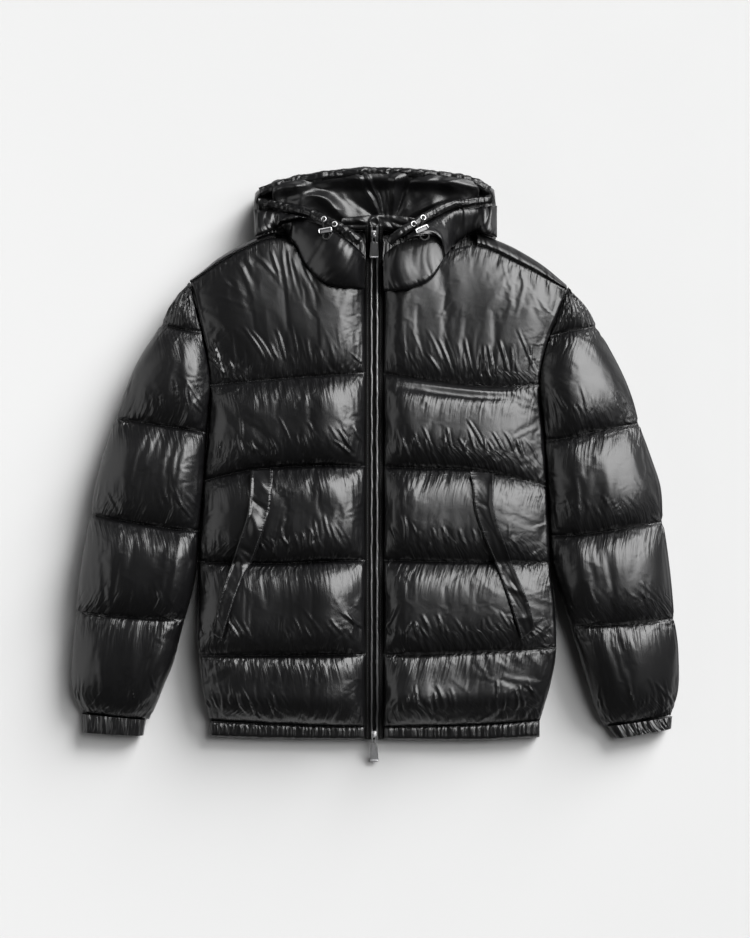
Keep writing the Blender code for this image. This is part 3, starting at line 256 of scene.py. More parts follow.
def treeOf(name):
    if name not in trees:
        mesh = frame["nodes"][name].data
        faces = [tuple(face.vertices) for face in mesh.polygons]
        trees[name] = BVHTree.FromPolygons([v.co for v in mesh.vertices], faces)
    return trees[name]


def restingHeight(x, y, names, reach=0.005):
    # the highest of the named pieces near x, y
    highest = 0.0
    for dx, dy in ((0, 0), (reach, 0), (-reach, 0), (0, reach), (0, -reach)):
        for name in names:
            hit = treeOf(name).ray_cast(Vector((x + dx, y + dy, 1.0)), Vector((0, 0, -1)))[0]
            if hit is not None:
                highest = max(highest, hit.z)
    return highest


def restingGrid(grid, names, reach, passes, clear=0.0014):
    heights = [[restingHeight(x, y, names, reach) for x, y in row[:, :2]] for row in grid]
    return blur(np.array(heights), passes) + clear


def makePiece(name, points, faces, material, flat=None, gap=None, sharp=80, keep=()):
    # a closed mesh with its faces turned out, its cloth coordinates and its distance from the seams
    points = np.asarray(points, float).reshape(-1, 3)
    corners = np.array([(f[0], f[i], f[i + 1]) for f in faces for i in range(1, len(f) - 1)])
    a, b, c = (points[corners[:, i]] - points.mean(0) for i in range(3))
    if (a * np.cross(b, c)).sum() < 0:
        faces = [face[::-1] for face in faces]
    mesh = bpy.data.meshes.new(name)
    mesh.from_pydata(points.tolist(), [], faces)
    if flat is not None:
        used = np.empty(len(mesh.loops), int)
        mesh.loops.foreach_get("vertex_index", used)
        layer = mesh.uv_layers.new(name="cloth")
        layer.data.foreach_set("uv", np.asarray(flat).reshape(-1, 2)[used].reshape(-1))
    if gap is not None:
        field = mesh.attributes.new("seamGap", "FLOAT", "POINT")
        field.data.foreach_set("value", np.asarray(gap, np.float32).reshape(-1))
    mesh.materials.append(material)
    mesh.shade_smooth()
    mesh.set_sharp_from_angle(angle=math.radians(sharp))
    piece = addObject(name, mesh)
    for key in keep:
        trees[key] = BVHTree.FromPolygons(points.tolist(), faces)
    return piece


def ringPiece(name, grid, material, gap=None, **more):
    rows, columns = grid.shape[:2]
    last = (rows - 1) * columns
    faces = gridFaces(rows, columns, True)
    faces += [tuple(range(columns))[::-1], tuple(range(last, last + columns))]
    return makePiece(name, grid, faces, material, flatPlaces(grid), gap, **more)


def loopPiece(name, grid, material, flat=None):
    # a ring of rings that closes on itself
    rows, columns = grid.shape[:2]
    faces = [tuple(i % (rows * columns) for i in face) for face in gridFaces(rows + 1, columns, True)]
    return makePiece(name, grid, faces, material, flat)


def sheetPiece(name, grid, material, gap=None, **more):
    # an outer side closed behind by plain strips from edge to edge
    rows, columns = grid.shape[:2]
    end, last = columns - 1, (rows - 1) * columns
    faces = gridFaces(rows, columns)
    for j in range(rows - 1):
        a, b = j * columns, (j + 1) * columns
        faces.append((a, b, b + end, a + end))
    faces += [tuple(range(columns))[::-1], tuple(range(last, last + columns))]
    return makePiece(name, grid, faces, material, flatPlaces(grid), gap, **more)


def padPiece(name, top, under, material, gap=None, **more):
    # an upper and a lower side of the same grid, joined all round
    rows, columns = top.shape[:2]
    count = rows * columns
    faces = gridFaces(rows, columns) + gridFaces(rows, columns, flip=True, first=count)
    edge = list(range(columns))
    edge += [j * columns + columns - 1 for j in range(1, rows)]
    edge += [(rows - 1) * columns + i for i in range(columns - 2, -1, -1)]
    edge += [j * columns for j in range(rows - 2, 0, -1)]
    for a, b in zip(edge, edge[1:] + edge[:1]):
        faces.append((b, a, a + count, b + count))
    flat = np.concatenate([flatPlaces(top).reshape(-1, 2), flatPlaces(under).reshape(-1, 2)])
    if gap is not None:
        gap = np.concatenate([np.broadcast_to(gap, (rows, columns)).reshape(-1), np.ones(count)])
    return makePiece(name, np.stack([top, under]), faces, material, flat, gap, **more)


def settle(piece, slot, *nodes, fill=None, onBody=body):
    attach(piece, onBody)
    if nodes:
        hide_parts(*nodes)
    return piece


def tubeGrid(points, radius, count=12):
    # rings of so many points round a path, carried along without twist
    points = np.array(points, float)
    tangent = np.gradient(points, axis=0)
    tangent /= np.linalg.norm(tangent, axis=1, keepdims=True)
    side = np.cross(tangent[0], (0.3, 0.2, 1.0))
    rings = []
    turns = np.arange(count) * math.tau / count
    radii = np.broadcast_to(radius, len(points))
    for point, ahead, r in zip(points, tangent, radii):
        side = side - ahead * side.dot(ahead)
        side /= np.linalg.norm(side)
        up = np.cross(ahead, side)
        rings.append(point + r * (np.cos(turns)[:, None] * side + np.sin(turns)[:, None] * up))
    return np.array(rings)


def directionsAlong(tangent):
    # unit vectors along a level path, across it and up from it
    tangent = tangent / np.linalg.norm(tangent, axis=-1, keepdims=True)
    across = np.cross(tangent, (0, 0, 1))
    across /= np.linalg.norm(across, axis=-1, keepdims=True)
    return tangent, across, np.cross(across, tangent)


def easeLine(points, times):
    # smooths a line between its two ends, which stay
    for _ in range(times):
        points[1:-1] = (points[:-2] + 2 * points[1:-1] + points[2:]) / 4
    return points


def newMaterial(name, colour, roughness, metallic=0.0, **sockets):
    material = bpy.data.materials.new(name)
    material.use_nodes = True
    shader = material.node_tree.nodes["Principled BSDF"]
    shader.inputs["Base Color"].default_value = (*colour, 1)
    shader.inputs["Roughness"].default_value = roughness
    shader.inputs["Metallic"].default_value = metallic
    for socket, value in sockets.items():
        shader.inputs[socket.replace("_", " ")].default_value = value
    return material, shader


def newGroup(name, inputs, outputs, kind="ShaderNodeTree"):
    group = bpy.data.node_groups.new(name, kind)
    for label, socketKind, value in inputs:
        socket = group.interface.new_socket(label, in_out="INPUT", socket_type="NodeSocket" + socketKind)
        if value is not None:
            socket.default_value = value
    for label, socketKind in outputs:
        group.interface.new_socket(label, in_out="OUTPUT", socket_type="NodeSocket" + socketKind)
    return group, group.nodes.new("NodeGroupInput").outputs, group.nodes.new("NodeGroupOutput").inputs


def addNode(tree, kind, inputs=(), **settings):
    # a node whose inputs, by name or place, are set to values or linked to sockets
    node = withSettings(tree.nodes.new(kind), **settings)
    for label, value in dict(inputs).items():
        if isinstance(value, bpy.types.NodeSocket):
            tree.links.new(value, node.inputs[label])
        else:
            node.inputs[label].default_value = value
    return node


def mathNode(tree, operation, a, b=None, clamp=False):
    inputs = {0: a} if b is None else {0: a, 1: b}
    return addNode(tree, "ShaderNodeMath", inputs, operation=operation, use_clamp=clamp).outputs[0]


def vectorNode(tree, operation, **inputs):
    places = {"a": 0, "b": 1, "scale": "Scale"}
    inputs = {places[label]: value for label, value in inputs.items()}
    return addNode(tree, "ShaderNodeVectorMath", inputs, operation=operation)


def noiseNode(tree, place, scale, detail=2.0, distortion=0.0):
    inputs = {"Vector": place, "Scale": scale, "Detail": detail, "Distortion": distortion}
    return addNode(tree, "ShaderNodeTexNoise", inputs).outputs["Fac"]


def stretched(tree, place, scale):
    return vectorNode(tree, "MULTIPLY", a=place, b=scale).outputs[0]


# Sizes of the shader's patterns, in waves to the metre, and how much each counts.
texture = {
    "fine": ((260, 30, 1), 0.4, 0.45),      # (waves along and away from the seam, distortion, strength)
    "broad": ((120, 14, 1), 0.6, 1.0),
    "fade": 1.8,
    "crumple": (42.0, 3.0, 0.8),
    "shade": (9.0, 4.0, 0.2),
    "scratch": (6.0, 0.4, 1.0),
    "clothWear": 60.0,
    "hardWear": 450.0,
    "hardShades": (0.7, 1.15),              # of the colour, where it is darkest and lightest
    "scratchDepth": 0.00004,
}


def creaseGroup():
    # fine creases that run away from the seams and fade, over a faint crumple of the whole cloth
    group, given, out = newGroup("fineCreases", [
        ("Cloth", "Vector", None), ("Place", "Vector", None), ("Seam Gap", "Float", 0.5), ("Crumple", "Float", 0.4),
    ], [("Height", "Float"), ("Shade", "Float")])
    waves = []
    for waveLength, distortion, strength in (texture["fine"], texture["broad"]):
        wave = noiseNode(group, stretched(group, given["Cloth"], waveLength), 1.0, 2.0, distortion)
        waves.append(wave if strength == 1 else mathNode(group, "MULTIPLY", wave, strength))
    near = mathNode(group, "SUBTRACT", 1.0, given["Seam Gap"], clamp=True)
    near = mathNode(group, "POWER", near, texture["fade"])
    creased = mathNode(group, "MULTIPLY", mathNode(group, "ADD", *waves), near)
    crumple = mathNode(group, "MULTIPLY", noiseNode(group, given["Place"], *texture["crumple"]), given["Crumple"])
    group.links.new(mathNode(group, "ADD", creased, crumple), out["Height"])
    group.links.new(noiseNode(group, given["Place"], *texture["shade"]), out["Shade"])
    return group


def weaveGroup():
    # crossed threads, in cloth metres; Threads is how many there are to the metre
    group, given, out = newGroup("wovenThreads", [
        ("Cloth", "Vector", None), ("Threads", "Float", 2500.0),
    ], [("Height", "Float")])
    split = addNode(group, "ShaderNodeSeparateXYZ", {0: given["Cloth"]})
    waves = []
    for axis in ("X", "Y"):
        turn = mathNode(group, "MULTIPLY", split.outputs[axis], given["Threads"])
        waves.append(mathNode(group, "SINE", mathNode(group, "MULTIPLY", turn, math.pi)))
    group.links.new(mathNode(group, "MULTIPLY", *waves), out["Height"])
    return group


def wearGroup():
    # soft cloudiness for metal and moulded parts
    group, given, out = newGroup("handling", [
        ("Place", "Vector", None), ("Scale", "Float", 300.0),
    ], [("Cloud", "Float"), ("Scratch", "Float")])
    group.links.new(noiseNode(group, given["Place"], given["Scale"], 3.0), out["Cloud"])
    lines = stretched(group, given["Place"], texture["scratch"])
    group.links.new(noiseNode(group, lines, given["Scale"], 2.0), out["Scratch"])
    return group


def usingGroup(tree, group, **inputs):
    inputs = {label.replace("_", " "): value for label, value in inputs.items()}
    return addNode(tree, "ShaderNodeGroup", inputs, node_tree=group).outputs


def between(tree, field, low, high, start=0.3, end=0.7):
    # low where the field is at its start, high where it is at its end
    inputs = {"Value": field, "From Min": start, "From Max": end, "To Min": low, "To Max": high}
    return addNode(tree, "ShaderNodeMapRange", inputs).outputs["Result"]


def roughened(tree, shader, field, low, high):
    tree.links.new(between(tree, field, low, high), shader.inputs["Roughness"])


def bumped(tree, shader, height, strength, distance):
    bump = addNode(tree, "ShaderNodeBump", {"Height": height, "Strength": strength, "Distance": distance})
    tree.links.new(bump.outputs["Normal"], shader.inputs["Normal"])


creaseNodes, weaveNodes, wearNodes = creaseGroup(), weaveGroup(), wearGroup()


def clothMaterial(name, colour, roughness, bump, crumple, **sockets):
    # roughness is (lowest, highest)
    material, shader = newMaterial(name, colour, roughness[0], **sockets)
    tree = material.node_tree
    place = addNode(tree, "ShaderNodeTexCoord").outputs
    gap = addNode(tree, "ShaderNodeAttribute", attribute_name="seamGap").outputs["Fac"]
    folds = usingGroup(tree, creaseNodes, Cloth=place["UV"], Place=place["Object"], Seam_Gap=gap, Crumple=crumple)
    roughened(tree, shader, folds["Shade"], *roughness)
    bumped(tree, shader, folds["Height"], 1.0, bump)
    return material


def wovenMaterial(name, colour, roughness, threads, bump, **sockets):
    material, shader = newMaterial(name, colour, roughness, **sockets)
    tree = material.node_tree
    place = addNode(tree, "ShaderNodeTexCoord").outputs
    weave = usingGroup(tree, weaveNodes, Cloth=place["UV"], Threads=threads)
    bumped(tree, shader, weave["Height"], 1.0, bump)
    wear = usingGroup(tree, wearNodes, Place=place["Object"], Scale=texture["clothWear"])
    roughened(tree, shader, wear["Cloud"], roughness - 0.05, roughness + 0.08)
    return material


def hardMaterial(name, colour, roughness, metallic, scratch):
    material, shader = newMaterial(name, colour, roughness, metallic)
    tree = material.node_tree
    place = addNode(tree, "ShaderNodeTexCoord").outputs
    wear = usingGroup(tree, wearNodes, Place=place["Object"], Scale=texture["hardWear"])
    roughened(tree, shader, wear["Cloud"], roughness - 0.08, roughness + 0.12)
    bumped(tree, shader, wear["Scratch"], scratch, texture["scratchDepth"])
    dark, light = ((*[min(1, part * share) for part in colour], 1) for share in texture["hardShades"])
    shades = addNode(tree, "ShaderNodeMix", {0: wear["Cloud"], 6: dark, 7: light}, data_type="RGBA")
    tree.links.new(shades.outputs[2], shader.inputs["Base Color"])
    return material


finish = {
    "shell": clothMaterial("glossyNylon", (0.0022, 0.0022, 0.0024), (0.28, 0.35), 0.0026, 0.12, IOR=1.66),
    "lining": clothMaterial("shinyLining", (0.004, 0.004, 0.0043), (0.32, 0.40), 0.0012, 0.5, IOR=1.7),
    "facing": clothMaterial("neckFacing", (0.006, 0.006, 0.0063), (0.34, 0.44), 0.0012, 0.5, IOR=1.7),
    "tape": wovenMaterial("zipTape", (0.0035, 0.0035, 0.0035), 0.60, 1400.0, 0.0002, IOR=1.25),
    # painted sheen: the piping's grey base colour, far lighter than the shell's black, brightens the two light lines
    # that its real reflections also make
    "piping": clothMaterial("pipingPaintedSheen", (0.040, 0.040, 0.041), (0.26, 0.34), 0.0005, 0.7, IOR=2.4),
    "thread": wovenMaterial("sewingThread", (0.048, 0.048, 0.049), 0.38, 5000.0, 0.0001),
    "cord": wovenMaterial("braidedCord", (0.015, 0.015, 0.015), 0.60, 1100.0, 0.0004),
    "metal": hardMaterial("gunMetal", (0.75, 0.75, 0.76), 0.50, 1.0, 0.4),
    "bright": hardMaterial("nickel", (0.85, 0.85, 0.86), 0.34, 0.6, 0.25),
    "lock": hardMaterial("mouldedLock", (0.090, 0.090, 0.092), 0.38, 0.0, 0.2),
}
report("finishes made")

cordRoute = {
    "right": (
        (-0.0730, 0.3550, 0.0870), (-0.0737, 0.3537, 0.0885), (-0.0743, 0.3517, 0.0897),
        (-0.0746, 0.3493, 0.0900), (-0.0745, 0.3467, 0.0895), (-0.0742, 0.3438, 0.0883),
        (-0.0740, 0.3412, 0.0873), (-0.0738, 0.3392, 0.0872), (-0.0735, 0.3358, 0.0881),
        (-0.0731, 0.3317, 0.0893), (-0.0742, 0.3296, 0.0896), (-0.0742, 0.3272, 0.0902),
        (-0.0732, 0.3252, 0.0911), (-0.0713, 0.3239, 0.0920), (-0.0690, 0.3237, 0.0927),
        (-0.0667, 0.3246, 0.0931), (-0.0651, 0.3265, 0.0931), (-0.0644, 0.3288, 0.0927),
        (-0.0648, 0.3311, 0.0920), (-0.0662, 0.3328, 0.0911), (-0.0665, 0.3368, 0.0899),
        (-0.0668, 0.3402, 0.0889), (-0.0667, 0.3419, 0.0892), (-0.0656, 0.3431, 0.0910),
        (-0.0638, 0.3440, 0.0935), (-0.0618, 0.3447, 0.0952), (-0.0597, 0.3452, 0.0957),
        (-0.0578, 0.3456, 0.0951), (-0.0563, 0.3459, 0.0939),
    ),
    "left": (
        (0.0541, 0.3464, 0.0941), (0.0557, 0.3458, 0.0953), (0.0575, 0.3449, 0.0960),
        (0.0589, 0.3440, 0.0954), (0.0598, 0.3432, 0.0940), (0.0604, 0.3423, 0.0924),
        (0.0611, 0.3408, 0.0911), (0.0620, 0.3389, 0.0910), (0.0629, 0.3370, 0.0910),
        (0.0647, 0.3332, 0.0910), (0.0638, 0.3300, 0.0916), (0.0645, 0.3267, 0.0918),
        (0.0667, 0.3241, 0.0916), (0.0699, 0.3230, 0.0909), (0.0731, 0.3236, 0.0900),
        (0.0756, 0.3257, 0.0891), (0.0767, 0.3289, 0.0884), (0.0761, 0.3322, 0.0882),
        (0.0740, 0.3349, 0.0884), (0.0709, 0.3362, 0.0890), (0.0691, 0.3400, 0.0890),
        (0.0676, 0.3434, 0.0890), (0.0672, 0.3456, 0.0898), (0.0677, 0.3483, 0.0910),
        (0.0684, 0.3509, 0.0917), (0.0689, 0.3532, 0.0914), (0.0691, 0.3552, 0.0902),
        (0.0689, 0.3567, 0.0885),
    ),
}
cordRadius = 0.00125


def makeCords():
    # a limp cord: out of one eyelet, through the lock, round, and back into the other eyelet
    for side, route in cordRoute.items():
        fineRoute = pathAt(route, np.linspace(0, 1, 120))
        piece = ringPiece(f"drawcord_{side}", tubeGrid(fineRoute, cordRadius), finish["cord"])
        settle(piece, "cord", f"cord_{side}")


makeCords()
report("drawcords made")

cut = {
    "zipEdge": {"right": -0.0140, "left": 0.0118},
    "bodyEdge": {
        "right": (
            (0.2705, -0.2675), (0.230, -0.2585), (0.193, -0.249), (0.150, -0.2405), (0.119, -0.238),
            (0.054, -0.242), (-0.019, -0.248), (-0.077, -0.252), (-0.135, -0.255), (-0.193, -0.257),
            (-0.250, -0.258), (-0.273, -0.2555), (-0.323, -0.252), (-0.369, -0.2425),
        ),
        "left": (
            (0.2625, 0.2785), (0.219, 0.265), (0.193, 0.253), (0.151, 0.241), (0.119, 0.237),
            (0.054, 0.2435), (-0.019, 0.249), (-0.077, 0.252), (-0.138, 0.254), (-0.196, 0.261),
            (-0.262, 0.263), (-0.300, 0.259), (-0.338, 0.250), (-0.370, 0.241),
        ),
    },
    "sleeveEdge": {
        "right": (
            (0.263, -0.273), (0.242, -0.291), (0.210, -0.3095), (0.155, -0.3435), (0.120, -0.359),
            (0.071, -0.377), (0.016, -0.395), (-0.036, -0.408), (-0.069, -0.414), (-0.106, -0.4205),
            (-0.158, -0.429), (-0.210, -0.435), (-0.262, -0.440), (-0.323, -0.4425), (-0.3595, -0.431),
        ),
        "left": (
            (0.257, 0.283), (0.231, 0.306), (0.202, 0.3235), (0.139, 0.357), (0.100, 0.373),
            (0.0625, 0.385), (0.010, 0.402), (-0.030, 0.4145), (-0.0795, 0.4195), (-0.141, 0.427),
            (-0.220, 0.436), (-0.262, 0.441), (-0.323, 0.4425), (-0.3625, 0.4355),
        ),
    },
    # How far the sleeve's inner edge lies from the body, as (y, distance).
    "sleeveClearance": (
        (0.267, 0.0010), (0.060, 0.0010), (-0.110, 0.0014), (-0.164, 0.006), (-0.196, 0.0118),
        (-0.220, 0.0178), (-0.280, 0.037), (-0.320, 0.056), (-0.352, 0.075), (-0.378, 0.095),
    ),
    # y at five even places, then the middle plane, the seam's height over it, the crest's height.
    "frontSeams": {
        "right": (
            (-0.3775, -0.3762, -0.3738, -0.3712, -0.3685, 0.011, 0.010, 0.038),
            (-0.2705, -0.2710, -0.2715, -0.2720, -0.2720, 0.033, 0.0165, 0.046),
            (-0.1345, -0.1360, -0.1390, -0.1385, -0.1370, 0.034, 0.0165, 0.047),
            (0.0010, 0.0020, 0.0000, -0.0060, -0.0200, 0.034, 0.0165, 0.046),
            (0.1360, 0.1320, 0.1280, 0.1230, 0.1180, 0.034, 0.0175, 0.036),
            (0.2960, 0.3030, 0.3305, 0.3070, 0.2665, 0.033, 0.018, 0.0),
        ),
        "left": (
            (-0.3775, -0.3765, -0.3755, -0.3730, -0.3690, 0.011, 0.010, 0.038),
            (-0.2715, -0.2705, -0.2680, -0.2655, -0.2630, 0.033, 0.0165, 0.046),
            (-0.1345, -0.1360, -0.1370, -0.1375, -0.1390, 0.034, 0.0165, 0.047),
            (0.0000, -0.0015, -0.0035, -0.0130, -0.0280, 0.034, 0.0165, 0.046),
            (0.1350, 0.1260, 0.1180, 0.1145, 0.1185, 0.034, 0.0175, 0.037),
            (0.2960, 0.3030, 0.3195, 0.2925, 0.2560, 0.033, 0.018, 0.0),
        ),
    },
    "sleeveSeams": {
        "right": (
            (-0.3680, -0.3662, -0.3642, -0.3615, -0.3590, 0.011, 0.009, 0.036),
            (-0.2200, -0.2190, -0.2170, -0.2140, -0.2100, 0.031, 0.0165, 0.043),
            (-0.0930, -0.0890, -0.0830, -0.0760, -0.0690, 0.033, 0.0165, 0.043),
            (0.0490, 0.0550, 0.0600, 0.0650, 0.0710, 0.034, 0.0165, 0.041),
            (0.1950, 0.1960, 0.1985, 0.2025, 0.2070, 0.034, 0.0175, 0.031),
            (0.2625, 0.2640, 0.2655, 0.2670, 0.2680, 0.033, 0.014, 0.0),
        ),
        "left": (
            (-0.3770, -0.3745, -0.3705, -0.3665, -0.3625, 0.011, 0.009, 0.036),
            (-0.2310, -0.2290, -0.2270, -0.2240, -0.2200, 0.031, 0.0165, 0.043),
            (-0.1000, -0.0980, -0.0930, -0.0860, -0.0795, 0.033, 0.0165, 0.043),
            (0.0380, 0.0420, 0.0500, 0.0570, 0.0625, 0.034, 0.0165, 0.041),
            (0.1890, 0.1930, 0.1970, 0.2000, 0.2030, 0.034, 0.0175, 0.031),
            (0.2540, 0.2555, 0.2570, 0.2585, 0.2595, 0.033, 0.014, 0.0),
        ),
    },
    "backTop": (
        (-0.2680, 0.2695), (-0.2465, 0.2860), (-0.2255, 0.3030), (-0.1780, 0.3285), (-0.1435, 0.3385),
        (0.0, 0.3410), (0.1455, 0.3385), (0.1785, 0.3275), (0.2065, 0.3145), (0.2445, 0.2910),
        (0.2790, 0.2620),
    ),
    "backMiddle": ((-0.3775, 0.0104), (-0.2710, 0.0324), (0.34, 0.0324)),  # (y, greatest height of the back)
}

quilting = {
    "cell": 0.0039,
    "startFill": 0.62,      # of the finished height, before the cloth is puffed
    "frames": 22,
    "cloth": {
        "quality": 5,
        "mass": 0.15,
        "tension_stiffness": 22.0,
        "compression_stiffness": 22.0,
        "shear_stiffness": 22.0 / 3,
        "bending_stiffness": 0.04,
        "air_damping": 2,
        "use_pressure": True,
        "uniform_pressure_force": 3.0,
        "shrink_min": -0.085,   # more cloth than the outline needs, so that it wrinkles
        "shrink_max": -0.085,
    },
    "keep": 0.22,           # share of the cloth's own wrinkles that is kept
    "sideCap": 0.004,
    "heightCap": 0.010,
    "softPasses": 40,
    "layerGap": 0.0006,
    "seamReach": (0.030, 0.0675),   # how far a seam's creases show, in the topmost half row and elsewhere
    "softEnd": 0.006,       # creases fade this near to a panel's sides
    "nip": (0.006, 0.06),   # how high a seam lifts the underside, and over which share of a row
}
fullness = {
    "front": {"right": (0.070, 0.075, 0.15), "left": (0.042, 0.100, 0.42)},     # fall at the zip, at the side, tilt
    "rows": {"right": (3.0, 0.7), "left": (2.4, 1.0)},      # squareness of the rows, and sag of the lowest one
    "sleeve": {"right": (0.034, 0.060, 1.0, 0.16), "left": (0.050, 0.095, 1.5, 0.0)},   # rise, fall, power, tilt
    "sag": 0.009,
    "lump": 0.0022,
    "drawn": 0.0035,        # how far a sleeve's seams are drawn in from the outline
}
clothAcross = {"front": 0.24, "sleeve": 0.18, "back": 0.5}
panelSeeds = {"front_right": 100, "front_left": 200, "sleeve_right": 300, "sleeve_left": 400, "back": 500}
# Creases that run away from a seam, over it and under it: (wavelength, reach, height), metres.
creases = {
    "above": ((0.011, 0.022, 0.0007), (0.024, 0.055, 0.0011)),
    "below": ((0.009, 0.014, 0.0006), (0.020, 0.030, 0.0009)),
    # Single creases: (spacing, start, length, half width, height), the middle three as (least, most).
    # The tall ones stand over the chest seam, the top ones hang from the shoulder.
    "longOnes": (0.0075, (0.010, 0.034), (0.018, 0.048), (0.0013, 0.0024), 0.0037),
    "shortOnes": (0.0050, (0.000, 0.003), (0.008, 0.024), (0.0011, 0.0020), 0.0024),
    "tallOnes": (0.0080, (0.006, 0.030), (0.028, 0.085), (0.0014, 0.0025), 0.0038),
    "topOnes": (0.0130, (0.004, 0.030), (0.045, 0.105), (0.0018, 0.0036), 0.0032),
    # On the left front, a tuck under the chest seam: (seam, depth under it, half width, height).
    "tuck": (4, 0.0070, 0.0034, 0.0026),
    "slant": 0.30,          # they lean the same way on the whole garment
    "fan": (0.55, 0.022),   # and spread from the corners: (how much, how far)
    "lean": 0.5,
    "seed": 5,
}


def seamY(seam, u):
    # y of a seam, at shares of the way across the panel
    return curveAt([(i / 4, y) for i, y in enumerate(seam[:5])], u)


def quiltRows(seams, stretch=1.25):
    # (seam below, seam above, place between them) for each row of cells
    rows = []
    for below, above in zip(seams, seams[1:]):
        count = max(6, round(abs(above[2] - below[2]) * stretch / quilting["cell"]))
        rows += [(below, above, k / count) for k in range(count)]
    return rows + [(seams[-2], seams[-1], 1.0)]


def rowShape(row, u, fill, power=2.3, sag=0.0):
    # y, middle plane and crest height over it for one row; sag is how far the filling sinks to the hem
    below, above, v = row
    y = mix(seamY(below, u), seamY(above, u), v)
    valley = mix(below[6], above[6], v)
    sag = sag if below[5] < 0.02 else 0.0  # only in the row over the hem
    crest = puff(v ** (1 - 0.25 * sag), power) ** 1.2
    sunk = fullness["sag"] * sag * hill(v - 0.38, 0.22)
    return y, mix(below[5], above[5], v), valley + (below[7] - valley) * crest * fill + sunk * fill


def bodyX(side, y):
    # the line between the body and the sleeve
    return curveAt(cut["bodyEdge"][side], y)


def shareAcross(side, x, seam):
    # from the zip (0) to where the body ends at that seam (1)
    start = cut["zipEdge"][side]
    return np.clip((x - start) / (bodyX(side, seam[4]) - start), 0, 1)


def nipAt(v):
    height, share = quilting["nip"]
    return height * max(0.0, 1 - min(v, 1 - v) / share)


def newPanel(name, shaped, rows, held, s, softness, ring=False):
    # s is where each column lies across the cloth, softness how strong its creases are
    seams = []
    for row in rows:
        if row[0] not in seams:
            seams.append(row[0])
    t = np.array([seams.index(row[0]) + row[2] for row in rows])
    spans = [abs(above[2] - below[2]) for below, above in zip(seams, seams[1:] + [rows[-1][1]])]
    atSeam = np.array([row[2] in (0.0, 1.0) for row in rows])
    channel = np.minimum(t.astype(int), len(spans) - 1)
    reach = np.where(t > len(spans) - 0.5, *quilting["seamReach"])
    gap = np.minimum(1, np.abs(t - np.round(t)) * np.array(spans)[channel] / reach)
    return {
        "name": name, "grid": shaped(1.0), "start": shaped(quilting["startFill"]),
        "held": held | atSeam[:, None], "gap": np.tile(gap[:, None], (1, len(s))),
        "s": np.tile(s, (len(rows), 1)), "softness": np.tile(softness, (len(rows), 1)),
        "ring": ring, "flip": not name.endswith("left"), "t": t, "spans": spans, "seed": panelSeeds[name],
    }


def flatPanel(name, shaped, rows, u, width):
    # held at both sides, where its creases end
    held = np.zeros((len(rows), len(u)), bool)
    held[:, 0] = held[:, -1] = True
    ends = np.clip(np.minimum(u, 1 - u) * width / quilting["softEnd"], 0, 1)
    return newPanel(name, shaped, rows, held, u * width, ends)


def atArmhole(y):
    # 1 where the sleeve is sewn to the body, 0 where it lies beside it
    return smoothStep((y - 0.060) / 0.080)


def archAcross(u, width, side):
    # share of the crest's height, from the zip (0) to the side seam (1)
    zipFall, sideFall, tilt = fullness["front"][side]
    return roundIn(u * width, zipFall) ** 0.9 * roundIn((1 - u) * width, sideFall) ** 0.9 * (1 - tilt * u)


def frontPanel(side):
    name = f"front_{side}"
    rows = quiltRows(cut["frontSeams"][side])
    u = evenShares(round(0.25 / quilting["cell"]) + 1)

    def shaped(fill):
        grid = np.empty((len(rows), len(u), 3))
        for j, row in enumerate(rows):
            y, middle, height = rowShape(row, u, fill, *fullness["rows"][side])
            x0, x1 = cut["zipEdge"][side], bodyX(side, y[-1])
            width = abs(x1 - x0)
            low = mix(0.010, 0.003 + 0.013 * atArmhole(y), u)
            lump = fullness["lump"] * puff(row[2]) * noise(u * width / 0.06, y / 0.07 + 20, panelSeeds[name])
            lift = low + (np.maximum(height, low) - low + lump) * archAcross(u, width, side)
            grid[j] = gridOf(mix(x0, x1, u), y, middle + quilting["layerGap"] + lift)
        return grid

    return flatPanel(name, shaped, rows, u, clothAcross["front"])


def sleevePanel(side):
    # both halves of a sleeve as one tube: out over the top, then back along the underside
    name = f"sleeve_{side}"
    rows = quiltRows(cut["sleeveSeams"][side])
    half = round(0.145 / quilting["cell"])
    over = mix(evenShares(half + 1), closerAtEnds(half + 1), 0.55)
    rise, fall, bend, tilt = fullness["sleeve"][side]

    def shaped(fill):
        grid = np.empty((len(rows), 2 * half, 3))
        for j, row in enumerate(rows):
            y, middle, height = rowShape(row, over, fill)
            x0 = bodyX(side, y[0]) + outwardOf[side] * curveAt(cut["sleeveClearance"], y[0])
            x1 = curveAt(cut["sleeveEdge"][side], y[-1])
            width = abs(x1 - x0)
            x = mix(x0, x1 - fullness["drawn"] * (1 - puff(row[2])) * outwardOf[side], over)
            edge = np.minimum(over, 1 - over) * width
            low = 0.0015 + 0.0130 * atArmhole(y) * (1 - over) ** 2
            near = roundIn(over * width, min(rise, width / 2)) * (1 - tilt * over)
            near = near * roundIn((1 - over) * width, min(fall, width * fall / 0.12)) ** bend
            lump = fullness["lump"] * puff(row[2]) * noise(x / 0.05 + 30, y / 0.06 + 20, panelSeeds[name])
            top = middle + low + np.maximum(height - low + lump, 0) * near
            under = np.maximum(middle * (1 - roundIn(edge, min(0.032, width * 0.45))), nipAt(row[2])) + 0.001
            grid[j, :half + 1] = gridOf(x, y, top)
            grid[j, half + 1:] = gridOf(x, y, np.minimum(under, middle))[1:-1][::-1]
        return grid

    held = np.zeros((len(rows), 2 * half), bool)
    # the inner edge is sewn to the body down to the armpit, and free below it
    held[:, 0] = [mix(seamY(below, 0.0), seamY(above, 0.0), v) > -0.13 for below, above, v in rows]
    s = np.concatenate([over, over[1:-1][::-1]]) * clothAcross["sleeve"]
    return newPanel(name, shaped, rows, held, s, np.full(len(s), 0.85), ring=True)


